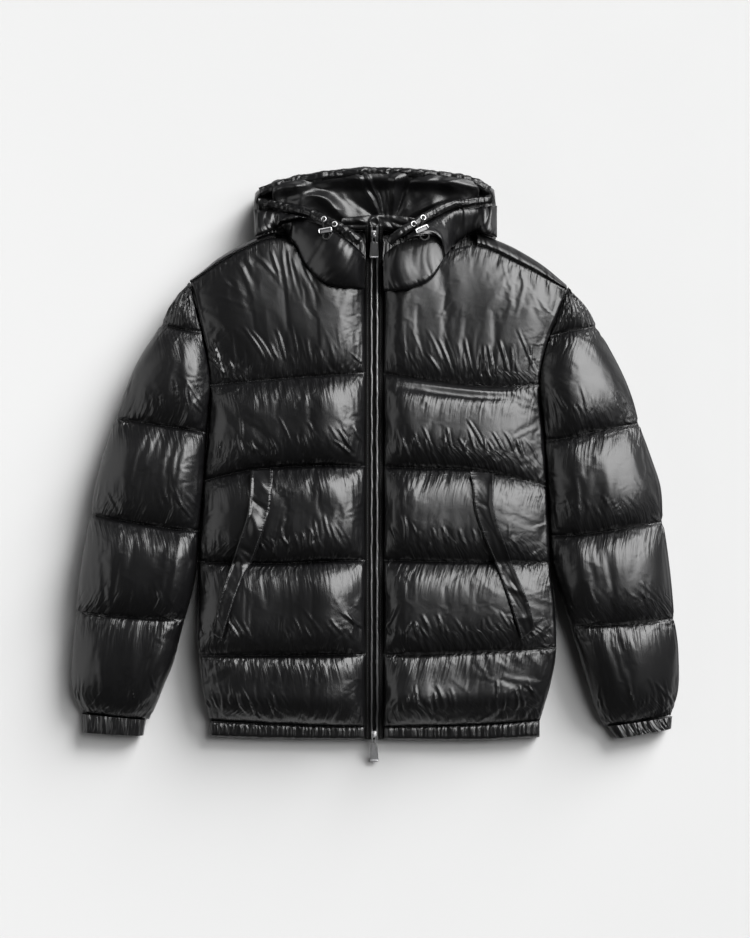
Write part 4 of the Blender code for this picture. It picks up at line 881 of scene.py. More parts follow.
def backPanel():
    seams = cut["frontSeams"]
    rows = quiltRows(seams["right"])
    last = len(seams["right"]) - 2
    columns = round(0.5 / quilting["cell"] / 1.3) + 1
    u = mix(evenShares(columns), closerAtEnds(columns), 0.4)

    def yAt(x, place, v):
        y = np.empty_like(x)
        for side, chosen in (("right", x < 0), ("left", x >= 0)):
            below, above = seams[side][place:place + 2]
            share = shareAcross(side, x, above)
            high = curveAt(cut["backTop"], x) if place == last else seamY(above, share)
            y[chosen] = mix(seamY(below, share), high, v)[chosen]
        return y

    def shaped(fill):
        grid = np.empty((len(rows), columns, 3))
        for j, row in enumerate(rows):
            place = seams["right"].index(row[0])
            ends = {"right": -0.25, "left": 0.25}
            for _ in range(3):
                ends = {side: float(bodyX(side, yAt(np.array([x]), place, row[2]))[0]) for side, x in ends.items()}
            x = mix(ends["right"], ends["left"], u)
            edge = np.minimum(u, 1 - u) * (ends["left"] - ends["right"])
            middle = mix(row[0][5], row[1][5], row[2]) - quilting["layerGap"]
            z = np.maximum((middle - 0.003) * (1 - roundIn(edge, 0.030)), nipAt(row[2]))
            if place == last:
                z = np.maximum(z, 0.018 * (1 - roundIn((1 - row[2]) * 0.16, 0.025)))
            grid[j] = gridOf(x, yAt(x, place, row[2]), z + 0.001)
        return grid

    return flatPanel("back", shaped, rows, u, clothAcross["back"])


def puffTogether(panels):
    # blows the panels up as cloth, held at their seams, and keeps a share of the wrinkles
    objects = []
    for panel in panels:
        start = panel["start"]
        mesh = bpy.data.meshes.new("cloth")
        faces = gridFaces(*start.shape[:2], panel["ring"], panel["flip"])
        mesh.from_pydata(start.reshape(-1, 3).tolist(), [], faces)
        cloth = addObject("cloth", mesh)
        held = cloth.vertex_groups.new(name="held")
        held.add([int(i) for i in np.flatnonzero(panel["held"])], 1.0, "REPLACE")
        modifier = cloth.modifiers.new("cloth", "CLOTH")
        settings = withSettings(modifier.settings, vertex_group_mass="held", **quilting["cloth"])
        settings.effector_weights.gravity = 0
        modifier.collision_settings.use_collision = False
        modifier.point_cache.frame_end = quilting["frames"]
        objects.append(cloth)
    for number in range(1, quilting["frames"] + 1):
        scene.frame_set(number)
    graph = bpy.context.evaluated_depsgraph_get()
    for panel, cloth in zip(panels, objects):
        mesh = cloth.evaluated_get(graph).data
        moved = np.empty(len(mesh.vertices) * 3)
        mesh.vertices.foreach_get("co", moved)
        shift = moved.reshape(panel["start"].shape) - panel["start"]
        shift = (shift - blurAcross(shift, quilting["softPasses"], panel["ring"])) * quilting["keep"]
        side = np.linalg.norm(shift[..., :2], axis=-1, keepdims=True)
        shift[..., :2] *= np.minimum(1, quilting["sideCap"] / np.maximum(side, 1e-9))
        shift[..., 2] = np.clip(shift[..., 2], -quilting["heightCap"], quilting["heightCap"])
        panel["grid"] = panel["grid"] + shift
    for cloth in objects:
        bpy.data.objects.remove(cloth)
    scene.frame_set(1)


def strokes(s, d, width, kind, slant, seed):
    # lens-shaped ridges with a hollow on both sides, d metres from the seam
    spacing, starts, lengths, halfWidths, size = creases[kind]
    fan, fanReach = creases["fan"]
    fan *= 0.2 if kind == "tallOnes" else 1
    evenness = 0.3 if kind == "topOnes" else 0.62
    random = np.random.default_rng(seed)
    height = np.zeros(np.broadcast(s, d).shape)
    for place in np.arange(0.002, width, spacing):
        at = place + random.normal() * spacing * 0.4
        start, length = random.uniform(*starts), random.uniform(*lengths) * random.uniform(0.6, 1.0)
        halfWidth = random.uniform(*halfWidths)
        angle = slant + random.normal() * 0.16
        angle += fan * (math.exp(-at / fanReach) - math.exp(-(width - at) / fanReach))
        strength = float(np.clip(evenness + noise(at / 0.045, start / 0.03, seed), 0.06, 1.3))
        along = (d - start) / length
        if kind in ("longOnes", "tallOnes"):
            lens = arch(np.clip(along, 0, 1), 0.8)
        else:
            lens = np.clip(1 - along, 0, 1) * np.clip(0.4 + 4 * along, 0, 1) * (along > -0.2)
        off = (s - at - math.tan(angle) * (d - start) - 0.0012 * np.sin(along * 4 + at * 900)) * math.cos(angle)
        ridge = hill(off, halfWidth) - 0.45 * hill(off, 2.1 * halfWidth)
        height += size * strength * random.uniform(0.45, 1.0) * ridge * lens
    return height


def ripples(s, d, part, seed):
    # the crumple along a seam, in clumps that reach more or less far from it
    along = s + d * creases["lean"] * noise(s / 0.07, 0.5, seed)
    height = 0
    for i, (wave, reach, size) in enumerate(creases[part]):
        field = noise(along / wave * 2.2, d / (4 * wave) + 0.5, seed + 1 + i)
        field = 2 * np.abs(field) - 1 if i else field
        clump = np.clip(0.55 + 0.9 * noise(along / (5 * wave), d / (6 * wave) + 0.5, seed + 5 + i), 0, 1.2)
        reached = reach * (0.7 + 0.5 * noise(along / (2 * wave), 3.5, seed + 8))
        fade = hill(d, reached) * (0.15 + 0.85 * np.clip(d / (0.3 * reach), 0, 1))
        height = height + size * field * clump * fade
    return height


def tuckUnder(panel, rows, d, height):
    # one long fold along the seam, and the cloth around it smoothed
    grid, gap, s = panel["grid"], panel["gap"], panel["s"]
    _, depth, halfWidth, size = creases["tuck"]
    reached = arch(np.clip(s[rows] / (0.88 * float(s.max())), 0, 1), 0.7)
    fold = hill(d - depth, halfWidth) - 0.8 * hill(d - 2.3 * depth, 1.6 * halfWidth)
    smooth = reached * np.exp(-(d / 0.019) ** 6)
    height[rows] = height[rows] * (1 - smooth) + size * fold * reached
    grid[rows] = mix(grid[rows], blurAcross(grid[rows], 300), smooth[..., None])
    gap[rows] = np.maximum(gap[rows], smooth)


def creased(panel):
    # creases from every seam, pushed out and in along the normals
    grid, t, s, spans = panel["grid"], panel["t"], panel["s"], panel["spans"]
    turned = -1 if panel["flip"] else 1
    height = np.zeros(grid.shape[:2])
    for k in range(len(spans) + 1):
        for part, channel in (("above", k), ("below", k - 1)):
            if not 0 <= channel < len(spans):
                continue
            rows = np.flatnonzero((t >= channel) & (t <= channel + 1))
            d = np.abs(t[rows] - k)[:, None] * spans[channel]
            seed = creases["seed"] + 20 * k + panel["seed"]
            if part == "above":
                seed += 10
                slant = -creases["slant"] * turned
                kinds = ("tallOnes" if channel == len(spans) - 1 else "longOnes", "shortOnes")
            else:
                slant = creases["slant"] * turned
                kinds = ("topOnes" if channel == len(spans) - 1 else "shortOnes",)
            height[rows] += ripples(s[rows], d, part, seed)
            for kind in kinds:
                height[rows] += strokes(s[rows], d, float(s.max()), kind, slant, seed + len(kind))
            if panel["name"] == "front_left" and part == "below" and k == creases["tuck"][0]:
                tuckUnder(panel, rows, d, height)
    normal = normalsOf(grid, panel["ring"]) * turned
    return grid + normal * (height * panel["softness"])[..., None]


def keepApart(panel, gap=0.0004, floor=0.0006):
    # sleeves and fronts stop at the line between them, and nothing sinks below the floor
    grid = panel["grid"]
    kind, _, side = panel["name"].partition("_")
    if kind == "back":
        grid[..., 2] = np.minimum(grid[..., 2], curveAt(cut["backMiddle"], grid[..., 1]))
    else:
        out = outwardOf[side]
        x, line = out * grid[..., 0], out * bodyX(side, grid[..., 1])
        if kind == "front":
            x = np.clip(x, out * cut["zipEdge"][side], line - gap)
        else:
            x = np.maximum(x, line + gap)
        grid[..., 0] = out * x
    grid[..., 2] = np.maximum(grid[..., 2], floor)


seamLines = []  # where stitches lie, just over the cloth


def sewAlong(grid, row, flip, ring=False, lift=0.0003):
    normal = normalsOf(grid, ring) * (-1 if flip else 1)
    seamLines.append(grid[row] + normal[row] * lift)


def makePanels():
    panels = [frontPanel("right"), frontPanel("left"), sleevePanel("right"), sleevePanel("left"), backPanel()]
    puffTogether(panels)
    report("cloth puffed")
    for panel in panels:
        name, ring = panel["name"], panel["ring"]
        if name != "back":
            panel["grid"] = finer(panel["grid"], ring)
            for field in ("gap", "s", "softness"):
                panel[field] = finer(panel[field][..., None], ring)[..., 0]
            panel["t"] = np.interp(np.arange(2 * len(panel["t"]) - 1) / 2, np.arange(len(panel["t"])), panel["t"])
        panel["grid"] = creased(panel)
        keepApart(panel)
        nodes = [name]
        if ring:
            nodes = [name.replace("sleeve", "sleeve_top"), name.replace("sleeve", "sleeve_under")]
        make = ringPiece if ring else sheetPiece
        piece = make(f"{name}_shell", panel["grid"], finish["shell"], panel["gap"], keep=nodes)
        settle(piece, "shell", *nodes, fill=0.75)
        for k in range(len(panel["spans"]) + 1):
            row = int(np.argmin(np.abs(panel["t"] - k)))
            if name != "back" and 0 < k < len(panel["spans"]):
                sewAlong(panel["grid"], row, panel["flip"], ring)
        print(name, len(piece.data.polygons), "faces")
    report("panels made")


makePanels()

yoke = {
    "start": 0.515,          # share of the front's width where the strip begins
    "profile": ((0.0, 0.0505), (0.15, 0.0550), (0.4, 0.0545), (0.7, 0.0505), (0.9, 0.0455), (1.0, 0.0385)),
    "gather": 0.0016,
    "pitch": 0.008,
    "least": 0.004,          # least depth of the strip
    "seed": {"right": 610, "left": 620},
    "points": (130, 17),
}


def makeYokes():
    u, v = sharesOf(yoke["points"])
    u = mix(yoke["start"], 1.0, u)
    for side in outwardOf:
        seam = cut["frontSeams"][side][-1]
        x0, x1 = cut["zipEdge"][side], bodyX(side, seam[4])
        x = mix(x0, x1, u)
        low = seamY(seam, u) + 0.0004
        high = np.maximum(curveAt(cut["backTop"], x), low + yoke["least"])
        ripple = gathers(np.abs(u * (x1 - x0)) + 0.004 * v, 0.0, yoke["seed"][side], yoke["pitch"])
        top = gridOf(x, mix(low, high, v), curveAt(yoke["profile"], v) + yoke["gather"] * ripple * arch(v, 0.6))
        under = atHeight(top, seam[5])
        piece = padPiece(f"shoulder_{side}", top, under, finish["shell"], arch(v), keep=[f"yoke_{side}"])
        settle(piece, "shell", f"yoke_{side}", fill=0.5)
        sewAlong(top, 1, side == "right")


makeYokes()

welt = {
    "profile": {
        "right": ((0.0, 0.0012), (0.1, 0.0034), (0.4, 0.0046), (0.75, 0.0042), (0.85, 0.0040), (0.93, 0.0058),
                  (1.0, 0.0018)),
        "left": ((0.0, 0.0012), (0.1, 0.0026), (0.4, 0.0044), (0.80, 0.0062), (0.90, 0.0084), (0.95, 0.0086),
                 (1.0, 0.0050)),
    },
    "edges": {
        "right": (
            ((-0.1465, -0.0040), (-0.1468, -0.0240), (-0.1510, -0.0640), (-0.1720, -0.1270),
             (-0.1900, -0.1600), (-0.2140, -0.2300), (-0.2190, -0.2490)),
            ((-0.1785, -0.0055), (-0.1798, -0.0430), (-0.1830, -0.0700), (-0.2010, -0.1250),
             (-0.2110, -0.1530), (-0.2240, -0.1950), (-0.2330, -0.2380)),
        ),
        "left": (
            ((0.1372, -0.0060), (0.1392, -0.0270), (0.1440, -0.0640), (0.1600, -0.1100),
             (0.1730, -0.1380), (0.1870, -0.1760), (0.2100, -0.2470)),
            ((0.1711, -0.0095), (0.1700, -0.0300), (0.1700, -0.0600), (0.1930, -0.1290),
             (0.2040, -0.1560), (0.2200, -0.1950), (0.2300, -0.2330)),
        ),
    },
    "wrinkle": 0.0017,
    "across": (0.82, 0.57),  # the direction in which the wrinkles follow each other
    # Where they gather: (share of the length, half width as a share, strength).
    "clumps": {
        "right": ((0.05, 0.09, 2.1), (0.26, 0.04, 0.6), (0.52, 0.05, 1.0), (0.80, 0.10, 0.6)),
        "left": ((0.03, 0.08, 0.7), (0.74, 0.10, 0.6), (0.95, 0.05, 0.8)),
    },
    # Folds across: (share of the length, slant, half width in metres, height).
    "folds": {
        "right": ((0.200, -0.55, 0.0032, -0.0020), (0.315, -0.9, 0.0150, 0.0050), (0.475, -0.3, 0.0035, -0.0018),
                  (0.555, -0.9, 0.0090, 0.0034), (0.92, -0.4, 0.0040, 0.0016)),
        "left": ((0.19, 0.4, 0.0030, -0.0007), (0.56, -0.6, 0.0040, -0.0006), (0.72, 0.6, 0.0060, 0.0022),
                 (0.90, 0.3, 0.0040, 0.0012)),
    },
    "length": 0.23,
    "pitch": 0.0085,
    "evenly": 0.22,          # how much it wrinkles between the clumps
    "seed": {"right": 630, "left": 640},
    "points": (110, 21),
    "lowEnds": (0.25, 0.09),    # height at the two ends, and the share over which it rises
}


def makeWelts():
    t, v = sharesOf(welt["points"])
    endHeight, endShare = welt["lowEnds"]
    ends = mix(endHeight, 1, roundIn(np.minimum(t, 1 - t), endShare))
    for side, (inner, outer) in welt["edges"].items():
        plan = mix(pathAt(inner, t)[None], pathAt(outer, t)[None], v[..., None])
        base = restingGrid(plan, [f"front_{side}"], 0.007, 6)
        clump = welt["evenly"]
        for place, wide, strength in welt["clumps"][side]:
            clump = clump + strength * hill(t - place, wide)
        ripple = gathers(plan @ welt["across"], v * 0.6, welt["seed"][side], welt["pitch"])
        wrinkles = welt["wrinkle"] * clump * ripple * arch(v, 0.6)
        for place, slant, wide, high in welt["folds"][side]:
            off = (t - place) * welt["length"] - slant * (v - 0.5) * 0.03
            wrinkles = wrinkles + high * hill(off, wide) * arch(v, 0.7)
        height = (curveAt(welt["profile"][side], v) + wrinkles) * ends
        top, under = atHeight(plan, base + 0.0015 + np.maximum(height, 0.0005)), atHeight(plan, base)
        piece = padPiece(f"pocket_welt_{side}", top, under, finish["shell"], arch(v), keep=[f"welt_{side}"])
        settle(piece, "shell", f"welt_{side}", fill=0.5)
        sewAlong(top, 2, side == "right")


makeWelts()
report("shoulders and welts made")

hem = {
    "bottom": ((-0.2390, -0.3935), (-0.150, -0.3965), (-0.0140, -0.3975), (0.0118, -0.3975),
               (0.150, -0.3985), (0.2370, -0.3940)),
    "middle": 0.011,
    "top": 0.0235,
    "over": ((0.0, 0.62), (0.14, 0.90), (0.50, 1.0), (0.86, 0.86), (1.0, 0.40)),
    "gather": 0.0014,
    "pitch": 0.0048,
    "wall": 0.0006,          # between the middle plane and each layer
    "backDrop": ((0.0, 0.0), (0.10, 0.0), (0.88, 0.0), (1.0, 0.22)),
    "seed": {"right": 650, "left": 660, "back": 670},
    "points": (200, 15),
    "backPoints": 300,
    "lowEnds": (0.35, 0.010),   # share of the height at the two ends, and how far it takes to rise
}


def hemEdges(x):
    # y of the hem band's two edges
    y = np.empty_like(x)
    for side, chosen in (("right", x < 0), ("left", x >= 0)):
        seam = cut["frontSeams"][side][0]
        y[chosen] = seamY(seam, shareAcross(side, x, seam))[chosen] - 0.0004
    return y, curveAt(hem["bottom"], x)


def makeHem():
    limits = {side: float(bodyX(side, cut["frontSeams"][side][0][4])) - 0.001 * out for side, out in outwardOf.items()}
    low, high = hem["middle"] + hem["wall"], hem["middle"] - hem["wall"]
    u, v = sharesOf(hem["points"])
    endHeight, endReach = hem["lowEnds"]
    for side, limit in limits.items():
        x = mix(cut["zipEdge"][side], limit, u)
        yTop, yBottom = hemEdges(x)
        seed = hem["seed"][side]
        rib = gathers(np.abs(x), 0.5 * v * noise(x / 0.03, 0.5, seed + 3), seed, hem["pitch"])
        fromEnd = np.minimum(np.abs(x - x[0]), abs(limit - x[0]) - np.abs(x - x[0]))
        ends = mix(endHeight, 1, roundIn(fromEnd, endReach))
        z = low + curveAt(hem["over"], v) * (hem["top"] - low) * ends + hem["gather"] * rib * arch(v, 0.5)
        top = gridOf(x, mix(yTop, yBottom + 0.0006 * rib[-1], v), z)
        piece = padPiece(f"hem_band_{side}", top, atHeight(top, low), finish["shell"], 0.3 * arch(v))
        settle(piece, "shell", f"hem_{side}", fill=0.5)
        sewAlong(top, 1, side == "left")
    x = np.linspace(limits["right"], limits["left"], hem["backPoints"])
    rib = gathers(x + 2, 0.0 * v, hem["seed"]["back"], hem["pitch"])
    z = np.maximum(curveAt(hem["backDrop"], v) * high + 0.0009 * (rib + 0.6) * arch(v, 0.5), 0.0004)
    under = gridOf(x, mix(*hemEdges(x), v), z)
    settle(padPiece("hem_band_back", atHeight(under, high), under, finish["shell"]), "shell", "hem_back", fill=0.5)


makeHem()

cuff = {
    "lines": {
        "right": ((-0.3345, -0.3687), (-0.4285, -0.3598), (-0.3385, -0.3920), (-0.4270, -0.3870)),
        "left": ((0.3385, -0.3786), (0.4345, -0.3641), (0.3510, -0.3960), (0.4330, -0.3815)),
    },
    "height": 0.0235,
    "fold": 0.0105,          # height of the two folded edges
    "slit": (0.0098, 0.0128),
    "gather": 0.0014,
    "pitch": 0.0046,
    "seed": {"right": 680, "left": 690},
    "shift": {"right": 0, "left": 3},       # so that the two sides don't gather alike
    "over": (90, 15),                       # points over the top, across and along
    "under": (42, 5),                       # back along the underside, and rings inside the slit
    "circle": 0.09,                         # length of cloth round the top
}


def makeCuffs():
    # rings that go out over the top, back along the underside, and line the slit
    (upper, outside), (lower, inside) = cuff["over"], cuff["under"]
    t = np.concatenate([evenShares(upper), np.linspace(1, 0, lower)[1:-1]])
    onTop = np.arange(len(t)) < upper
    edge = np.minimum(t, 1 - t)
    for side, lines in cuff["lines"].items():
        topIn, topOut, lowIn, lowOut = (np.array(p) for p in lines)
        rows = []
        for along in evenShares(outside):
            plan = mix(mix(topIn, lowIn, along), mix(topOut, lowOut, along), t[:, None])
            full = math.sin(math.pi * (0.12 + 0.76 * along)) ** 0.5
            rib = gathers(t * cuff["circle"] + cuff["shift"][side], along * 0.4, cuff["seed"][side], cuff["pitch"])
            rise = roundIn(edge, 0.14)
            over = mix(cuff["fold"], cuff["height"] - 0.0015 * (1 - full), rise) + cuff["gather"] * rib * rise * full
            below = cuff["fold"] * (1 - roundIn(edge, 0.18)) + 0.0006 * (1 + rib)
            rows.append(np.column_stack([plan, np.where(onTop, over, np.minimum(below, cuff["fold"]))]))
        for along in np.linspace(1, 0, inside):
            plan = mix(mix(topIn, lowIn, along), mix(topOut, lowOut, along), mix(0.06, 0.94, t)[:, None])
            rows.append(np.column_stack([plan, np.where(onTop, cuff["slit"][1], cuff["slit"][0])]))
        grid = np.array(rows)
        piece = loopPiece(f"cuff_band_{side}", grid, finish["shell"], flatPlaces(grid))
        settle(piece, "shell", f"cuff_{side}", fill=0.5)


makeCuffs()
report("hem and cuffs made")

fastening = {
    "middle": -0.0014,
    "height": ((-0.3980, 0.0165), (-0.3765, 0.0185), (-0.335, 0.0320), (-0.270, 0.0440), (0.0, 0.0460),
               (0.240, 0.0460), (0.285, 0.0470), (0.3035, 0.0505), (0.318, 0.0650), (0.331, 0.0820),
               (0.3425, 0.0915)),
    "tape": 0.0016,
    "piping": {"right": (-0.0050, 0.0014), "left": (0.0031, 0.0017)},
    "toothPitch": 0.0016,
    "toothSize": {"Length": 0.0008, "Width": 0.0018, "Height": 0.0008},
    "coil": (0.0004, 0.0008, 0.0003),       # (middle of the two rows, half their distance, height over the tape)
    "from": -0.3975,
    "to": 0.3425,
    "points": (420, 9),
    "wave": 0.00025,                        # of the tape
    "swing": ((0.0007, 0.013), (0.0003, 0.005)),    # how far the piping wanders, over what length
    "swell": (0.16, 0.006),                 # how much thicker it gets, over what length
    "coilEnds": (0.012, 0.014, 500),        # where the teeth start and stop from the ends, and their points
}


def zipZ(y):
    # height of the zip's tape
    return curveAt(fastening["height"], y)


def zipSlope(y, step=0.002):
    return np.arctan2(zipZ(y + step) - zipZ(y - step), 2 * step)


def makeZip():
    y, v = sharesOf(fastening["points"])
    y = mix(fastening["from"], fastening["to"], y)
    for side, sign in outwardOf.items():
        outer = cut["zipEdge"][side] - sign * 0.0004
        inner = fastening["middle"] + sign * 0.0002
        wave = fastening["wave"] * noise(y / 0.02, v * 1.5, 700 + sign)
        top = gridOf(mix(outer, inner, v), y, zipZ(y) + wave - 0.0003 * (1 - arch(v)))
        under = atHeight(top, zipZ(y) - fastening["tape"])
        settle(padPiece(f"zip_{side}_tape", top, under, finish["tape"]), "tape", f"zip_tape_{side}", fill=0.2)
        seamLines.append(top[2] + (0, 0, 0.0002))
        middle, radius = fastening["piping"][side]
        slope = zipSlope(y)
        drop = radius + 0.0003
        swing = sum(far * noise(y / wave, 0.5, 710 + i + sign) for i, (far, wave) in enumerate(fastening["swing"]))
        thicker, wave = fastening["swell"]
        size = radius * (1 + thicker * noise(y / wave, 0.5, 720 + sign))
        path = np.column_stack([middle + swing, y - np.sin(slope) * drop, zipZ(y) + np.cos(slope) * drop])
        piece = ringPiece(f"zip_{side}_piping", tubeGrid(path, size), finish["piping"])
        settle(piece, "piping", f"zip_piping_{side}")


makeZip()


def alongTree():
    # repeats a rounded bead along the edges of a mesh: stitches and teeth
    tree, given, out = newGroup("beadsAlong", [
        ("Geometry", "Geometry", None), ("Spacing", "Float", 0.003), ("Length", "Float", 0.002),
        ("Width", "Float", 0.0005), ("Height", "Float", 0.0005), ("Wobble", "Float", None), ("Seed", "Int", None),
        ("Material", "Material", None),
    ], [("Geometry", "Geometry")], "GeometryNodeTree")
    curve = addNode(tree, "GeometryNodeMeshToCurve", {0: given["Geometry"]})
    points = addNode(tree, "GeometryNodeCurveToPoints", {"Curve": curve.outputs[0], "Length": given["Spacing"]},
                     mode="LENGTH")
    bead = addNode(tree, "GeometryNodeMeshUVSphere", {"Segments": 6, "Rings": 4, "Radius": 0.5})
    size = addNode(tree, "ShaderNodeCombineXYZ", {"X": given["Length"], "Y": given["Width"], "Z": given["Height"]})
    jitter = addNode(tree, "FunctionNodeRandomValue", {"Seed": given["Seed"]}, data_type="FLOAT_VECTOR")
    centred = vectorNode(tree, "SUBTRACT", a=jitter.outputs[0], b=(0.5, 0.5, 0.5))
    spread = vectorNode(tree, "SCALE", a=centred.outputs[0], scale=given["Wobble"])
    leaning = vectorNode(tree, "ADD", a=points.outputs["Tangent"], b=spread.outputs[0])
    turn = addNode(tree, "FunctionNodeAlignRotationToVector", {"Vector": leaning.outputs[0]}, axis="X")
    place = addNode(tree, "GeometryNodeInstanceOnPoints", {
        "Points": points.outputs["Points"], "Instance": bead.outputs["Mesh"],
        "Rotation": turn.outputs["Rotation"], "Scale": size.outputs[0],
    })
    real = addNode(tree, "GeometryNodeRealizeInstances", {0: place.outputs[0]})
    paint = addNode(tree, "GeometryNodeSetMaterial", {"Geometry": real.outputs[0], "Material": given["Material"]})
    tree.links.new(paint.outputs[0], out[0])
    return tree


beads = alongTree()


def beadPiece(name, lines, material, **values):
    # lines of beads as one plain mesh
    points, edges = [], []
    for line in lines:
        first = len(points)
        points += [tuple(p) for p in line]
        edges += [(i, i + 1) for i in range(first, len(points) - 1)]
    guide = addObject(name, bpy.data.meshes.new(name))
    guide.data.from_pydata(points, edges, [])
    modifier = guide.modifiers.new("beads", "NODES")
    modifier.node_group = beads
    values["Material"] = material
    for socket in beads.interface.items_tree:
        if socket.in_out == "INPUT" and socket.name in values:
            modifier[socket.identifier] = values[socket.name]
    made = guide.evaluated_get(bpy.context.evaluated_depsgraph_get())
    mesh = bpy.data.meshes.new_from_object(made)
    bpy.data.objects.remove(guide)
    mesh.name = name
    mesh.shade_smooth()
    return addObject(name, mesh)


def makeTeeth():
    start, stop, count = fastening["coilEnds"]
    y = np.linspace(fastening["from"] + start, fastening["to"] - stop, count)
    middle, apart, lift = fastening["coil"]
    lines = [gridOf(fastening["middle"] + middle + sign * apart, y, zipZ(y) + lift) for sign in (-1, 1)]
    piece = beadPiece("zip_coil", lines, finish["tape"], Spacing=fastening["toothPitch"],
                      **fastening["toothSize"], Wobble=0.0, Seed=1)
    settle(piece, "tape")


makeTeeth()
report("zip made")

hood = {
    "edge": {
        "right": ((0.3290, -0.1730), (0.3550, -0.1750), (0.3760, -0.1765), (0.3990, -0.1740)),
        "left": ((0.3290, 0.1755), (0.3520, 0.1775), (0.3730, 0.1765), (0.4030, 0.1735)),
    },
    "arc": ((-0.1745, 0.3980), (-0.1600, 0.4065), (-0.1410, 0.4135), (-0.1190, 0.4190), (-0.0770, 0.4260),
            (-0.0460, 0.4300), (0.0, 0.4318), (0.0540, 0.4300), (0.1090, 0.4250), (0.1490, 0.4160),
            (0.1740, 0.4020)),
    "bowlFloor": 0.033,
    "bowlRise": 0.020,
    # Height of the far rim, which carries the drawcord tunnel.
    "rim": ((-0.165, 0.0560), (-0.113, 0.0610), (0.0, 0.0640), (0.109, 0.0615), (0.165, 0.0560)),
    "wrinkle": 0.0012,
    "columns": 90,
    "sideHeight": 0.026,
    "turned": 0.014,         # how high the underside comes up at the sides
    "groove": (0.004, 0.006),   # how far in and how deep
}


def makeCrown():
    def low(x):
        return curveAt(cut["backTop"], x) + 0.0020

    columns = hood["columns"]
    first, last = hood["arc"][0], hood["arc"][-1]
    v = np.concatenate([np.linspace(0, 0.86, 22), np.linspace(0.88, 1, 10)])[:, None]
    u = closerAtEnds(columns)[None]
    yRight, yLeft = mix(low(-0.173), first[1], v), mix(low(0.1755), last[1], v)
    x = mix(curveAt(hood["edge"]["right"], yRight), curveAt(hood["edge"]["left"], yLeft), u)
    y = mix(low(x), curveAt(hood["arc"], mix(first[0], last[0], u)), v)
    edge, fromRim = np.minimum(u, 1 - u) * 0.35, (1 - v) * 0.085
    bowl = hood["bowlFloor"] + hood["bowlRise"] * v**1.5 * (1 - 0.75 * np.abs(2 * u - 1) ** 3)
    bowl = mix(bowl, curveAt(hood["rim"], x), smoothStep((v - 0.70) / 0.20))
    z = mix(hood["sideHeight"], bowl, roundIn(edge, 0.020) * roundIn(fromRim + 0.002, 0.014))
    wrinkles = hood["wrinkle"] * noise(x / 0.009, y / 0.03, 730) * roundIn(edge, 0.02)
    top = gridOf(x, y, z + np.minimum(wrinkles, 0.0006))
    turned = hood["turned"] * (1 - roundIn(edge, 0.018) * roundIn(fromRim, 0.014))
    under = gridOf(x, y, np.maximum(turned, 0.0004))
    # The far edge is two layers with a groove between them.
    groove, lobe = top[-1].copy(), top[-1].copy()
    deep = roundIn(np.minimum(np.arange(columns), columns - 1 - np.arange(columns)), 12.0)
    groove[:, 1] -= hood["groove"][0] * deep
    groove[:, 2] -= hood["groove"][1]
    lobe[:, 2] = (lobe[:, 2] + under[-1, :, 2]) / 2 - 0.002
    top = np.concatenate([top, groove[None], lobe[None]])
    under = np.concatenate([under, mix(under[-1], lobe, 0.4)[None], mix(under[-1], lobe, 0.8)[None]])
    piece = padPiece("hood_back", top, under, finish["shell"], keep=["hood_crown"])
    settle(piece, "shell", "hood_crown", fill=0.4)


makeCrown()

lining = {
    "reach": (-0.1480, 0.1500),
    "neck": (0.020, 0.338),  # where the folds run together
    # angle from the neck in degrees, half width in degrees, height at the rim
    "folds": ((172, 10, 0.006), (156, 9, 0.011), (138, 6, -0.004), (122, 7, 0.006), (112, 2.5, 0.005),
              (97, 8, 0.003), (78, 9, 0.010), (63, 3, -0.006), (50, 7, 0.006), (33, 9, 0.009), (14, 8, 0.005)),
    "wrinkle": 0.0011,
    "fine": 0.0002,
    "stray": 9,              # degrees by which the folds wander
    "depth": 1.4,            # of all the folds together
    "thick": 0.0022,
    "points": (190, 54),
}


def makeLining():
    columns, rows = lining["points"]
    x = np.linspace(*lining["reach"], columns)[None]
    v = np.linspace(0.05, 0.9, rows)[:, None]
    plan = gridOf(x, mix(curveAt(cut["backTop"], x) + 0.0020, curveAt(hood["arc"], x), v))
    y = plan[..., 1]
    base = restingGrid(plan, ["hood_crown"], 0.006, 6)
    dx, dy = x - lining["neck"][0], y - lining["neck"][1]
    radius = np.hypot(dx, dy)
    angle = np.degrees(np.arctan2(dy, dx)) + lining["stray"] * noise(x / 0.040, y / 0.024, 740)
    lift = 0
    for place, width, height in lining["folds"]:
        lift = lift + height * np.exp(-np.abs((angle - place) / width) ** 1.6)
    reach = np.clip(radius / 0.075, 0, 1)
    ends = np.minimum(1.0, v * 3) * np.minimum(1.0, (0.95 - v) / 0.2)
    ends = ends * roundIn(np.minimum(x - lining["reach"][0], lining["reach"][1] - x), 0.03)
    fine = lining["wrinkle"] * noise(angle / 7, radius / 0.03, 750)
    fine = fine + lining["fine"] * noise(angle / 2, radius / 0.02, 751)
    lift = lining["depth"] * lift * (1 + 0.7 * noise(x / 0.026, y / 0.026, 742)) * reach
    lift = (lift + fine + 0.0012) * ends
    z = base + 0.0030 + np.maximum(lift, -0.001)
    under = atHeight(plan, np.maximum(base, z - lining["thick"]))
    piece = padPiece("hood_inside", atHeight(plan, z), under, finish["lining"], 0.65, keep=["hood_lining"])
    settle(piece, "lining", "hood_lining")


makeLining()

facing = {
    "x": (-0.0480, 0.0620),
    "y": (0.3440, 0.3640),
    "profile": ((0.0, 0.0012), (0.2, 0.0026), (0.8, 0.0030), (1.0, 0.0014)),
    "loop": (-0.0010, 0.45),        # where the bent-up ring lies, as x and share of the depth
    "bend": 0.0030,
    "points": (90, 19),
}


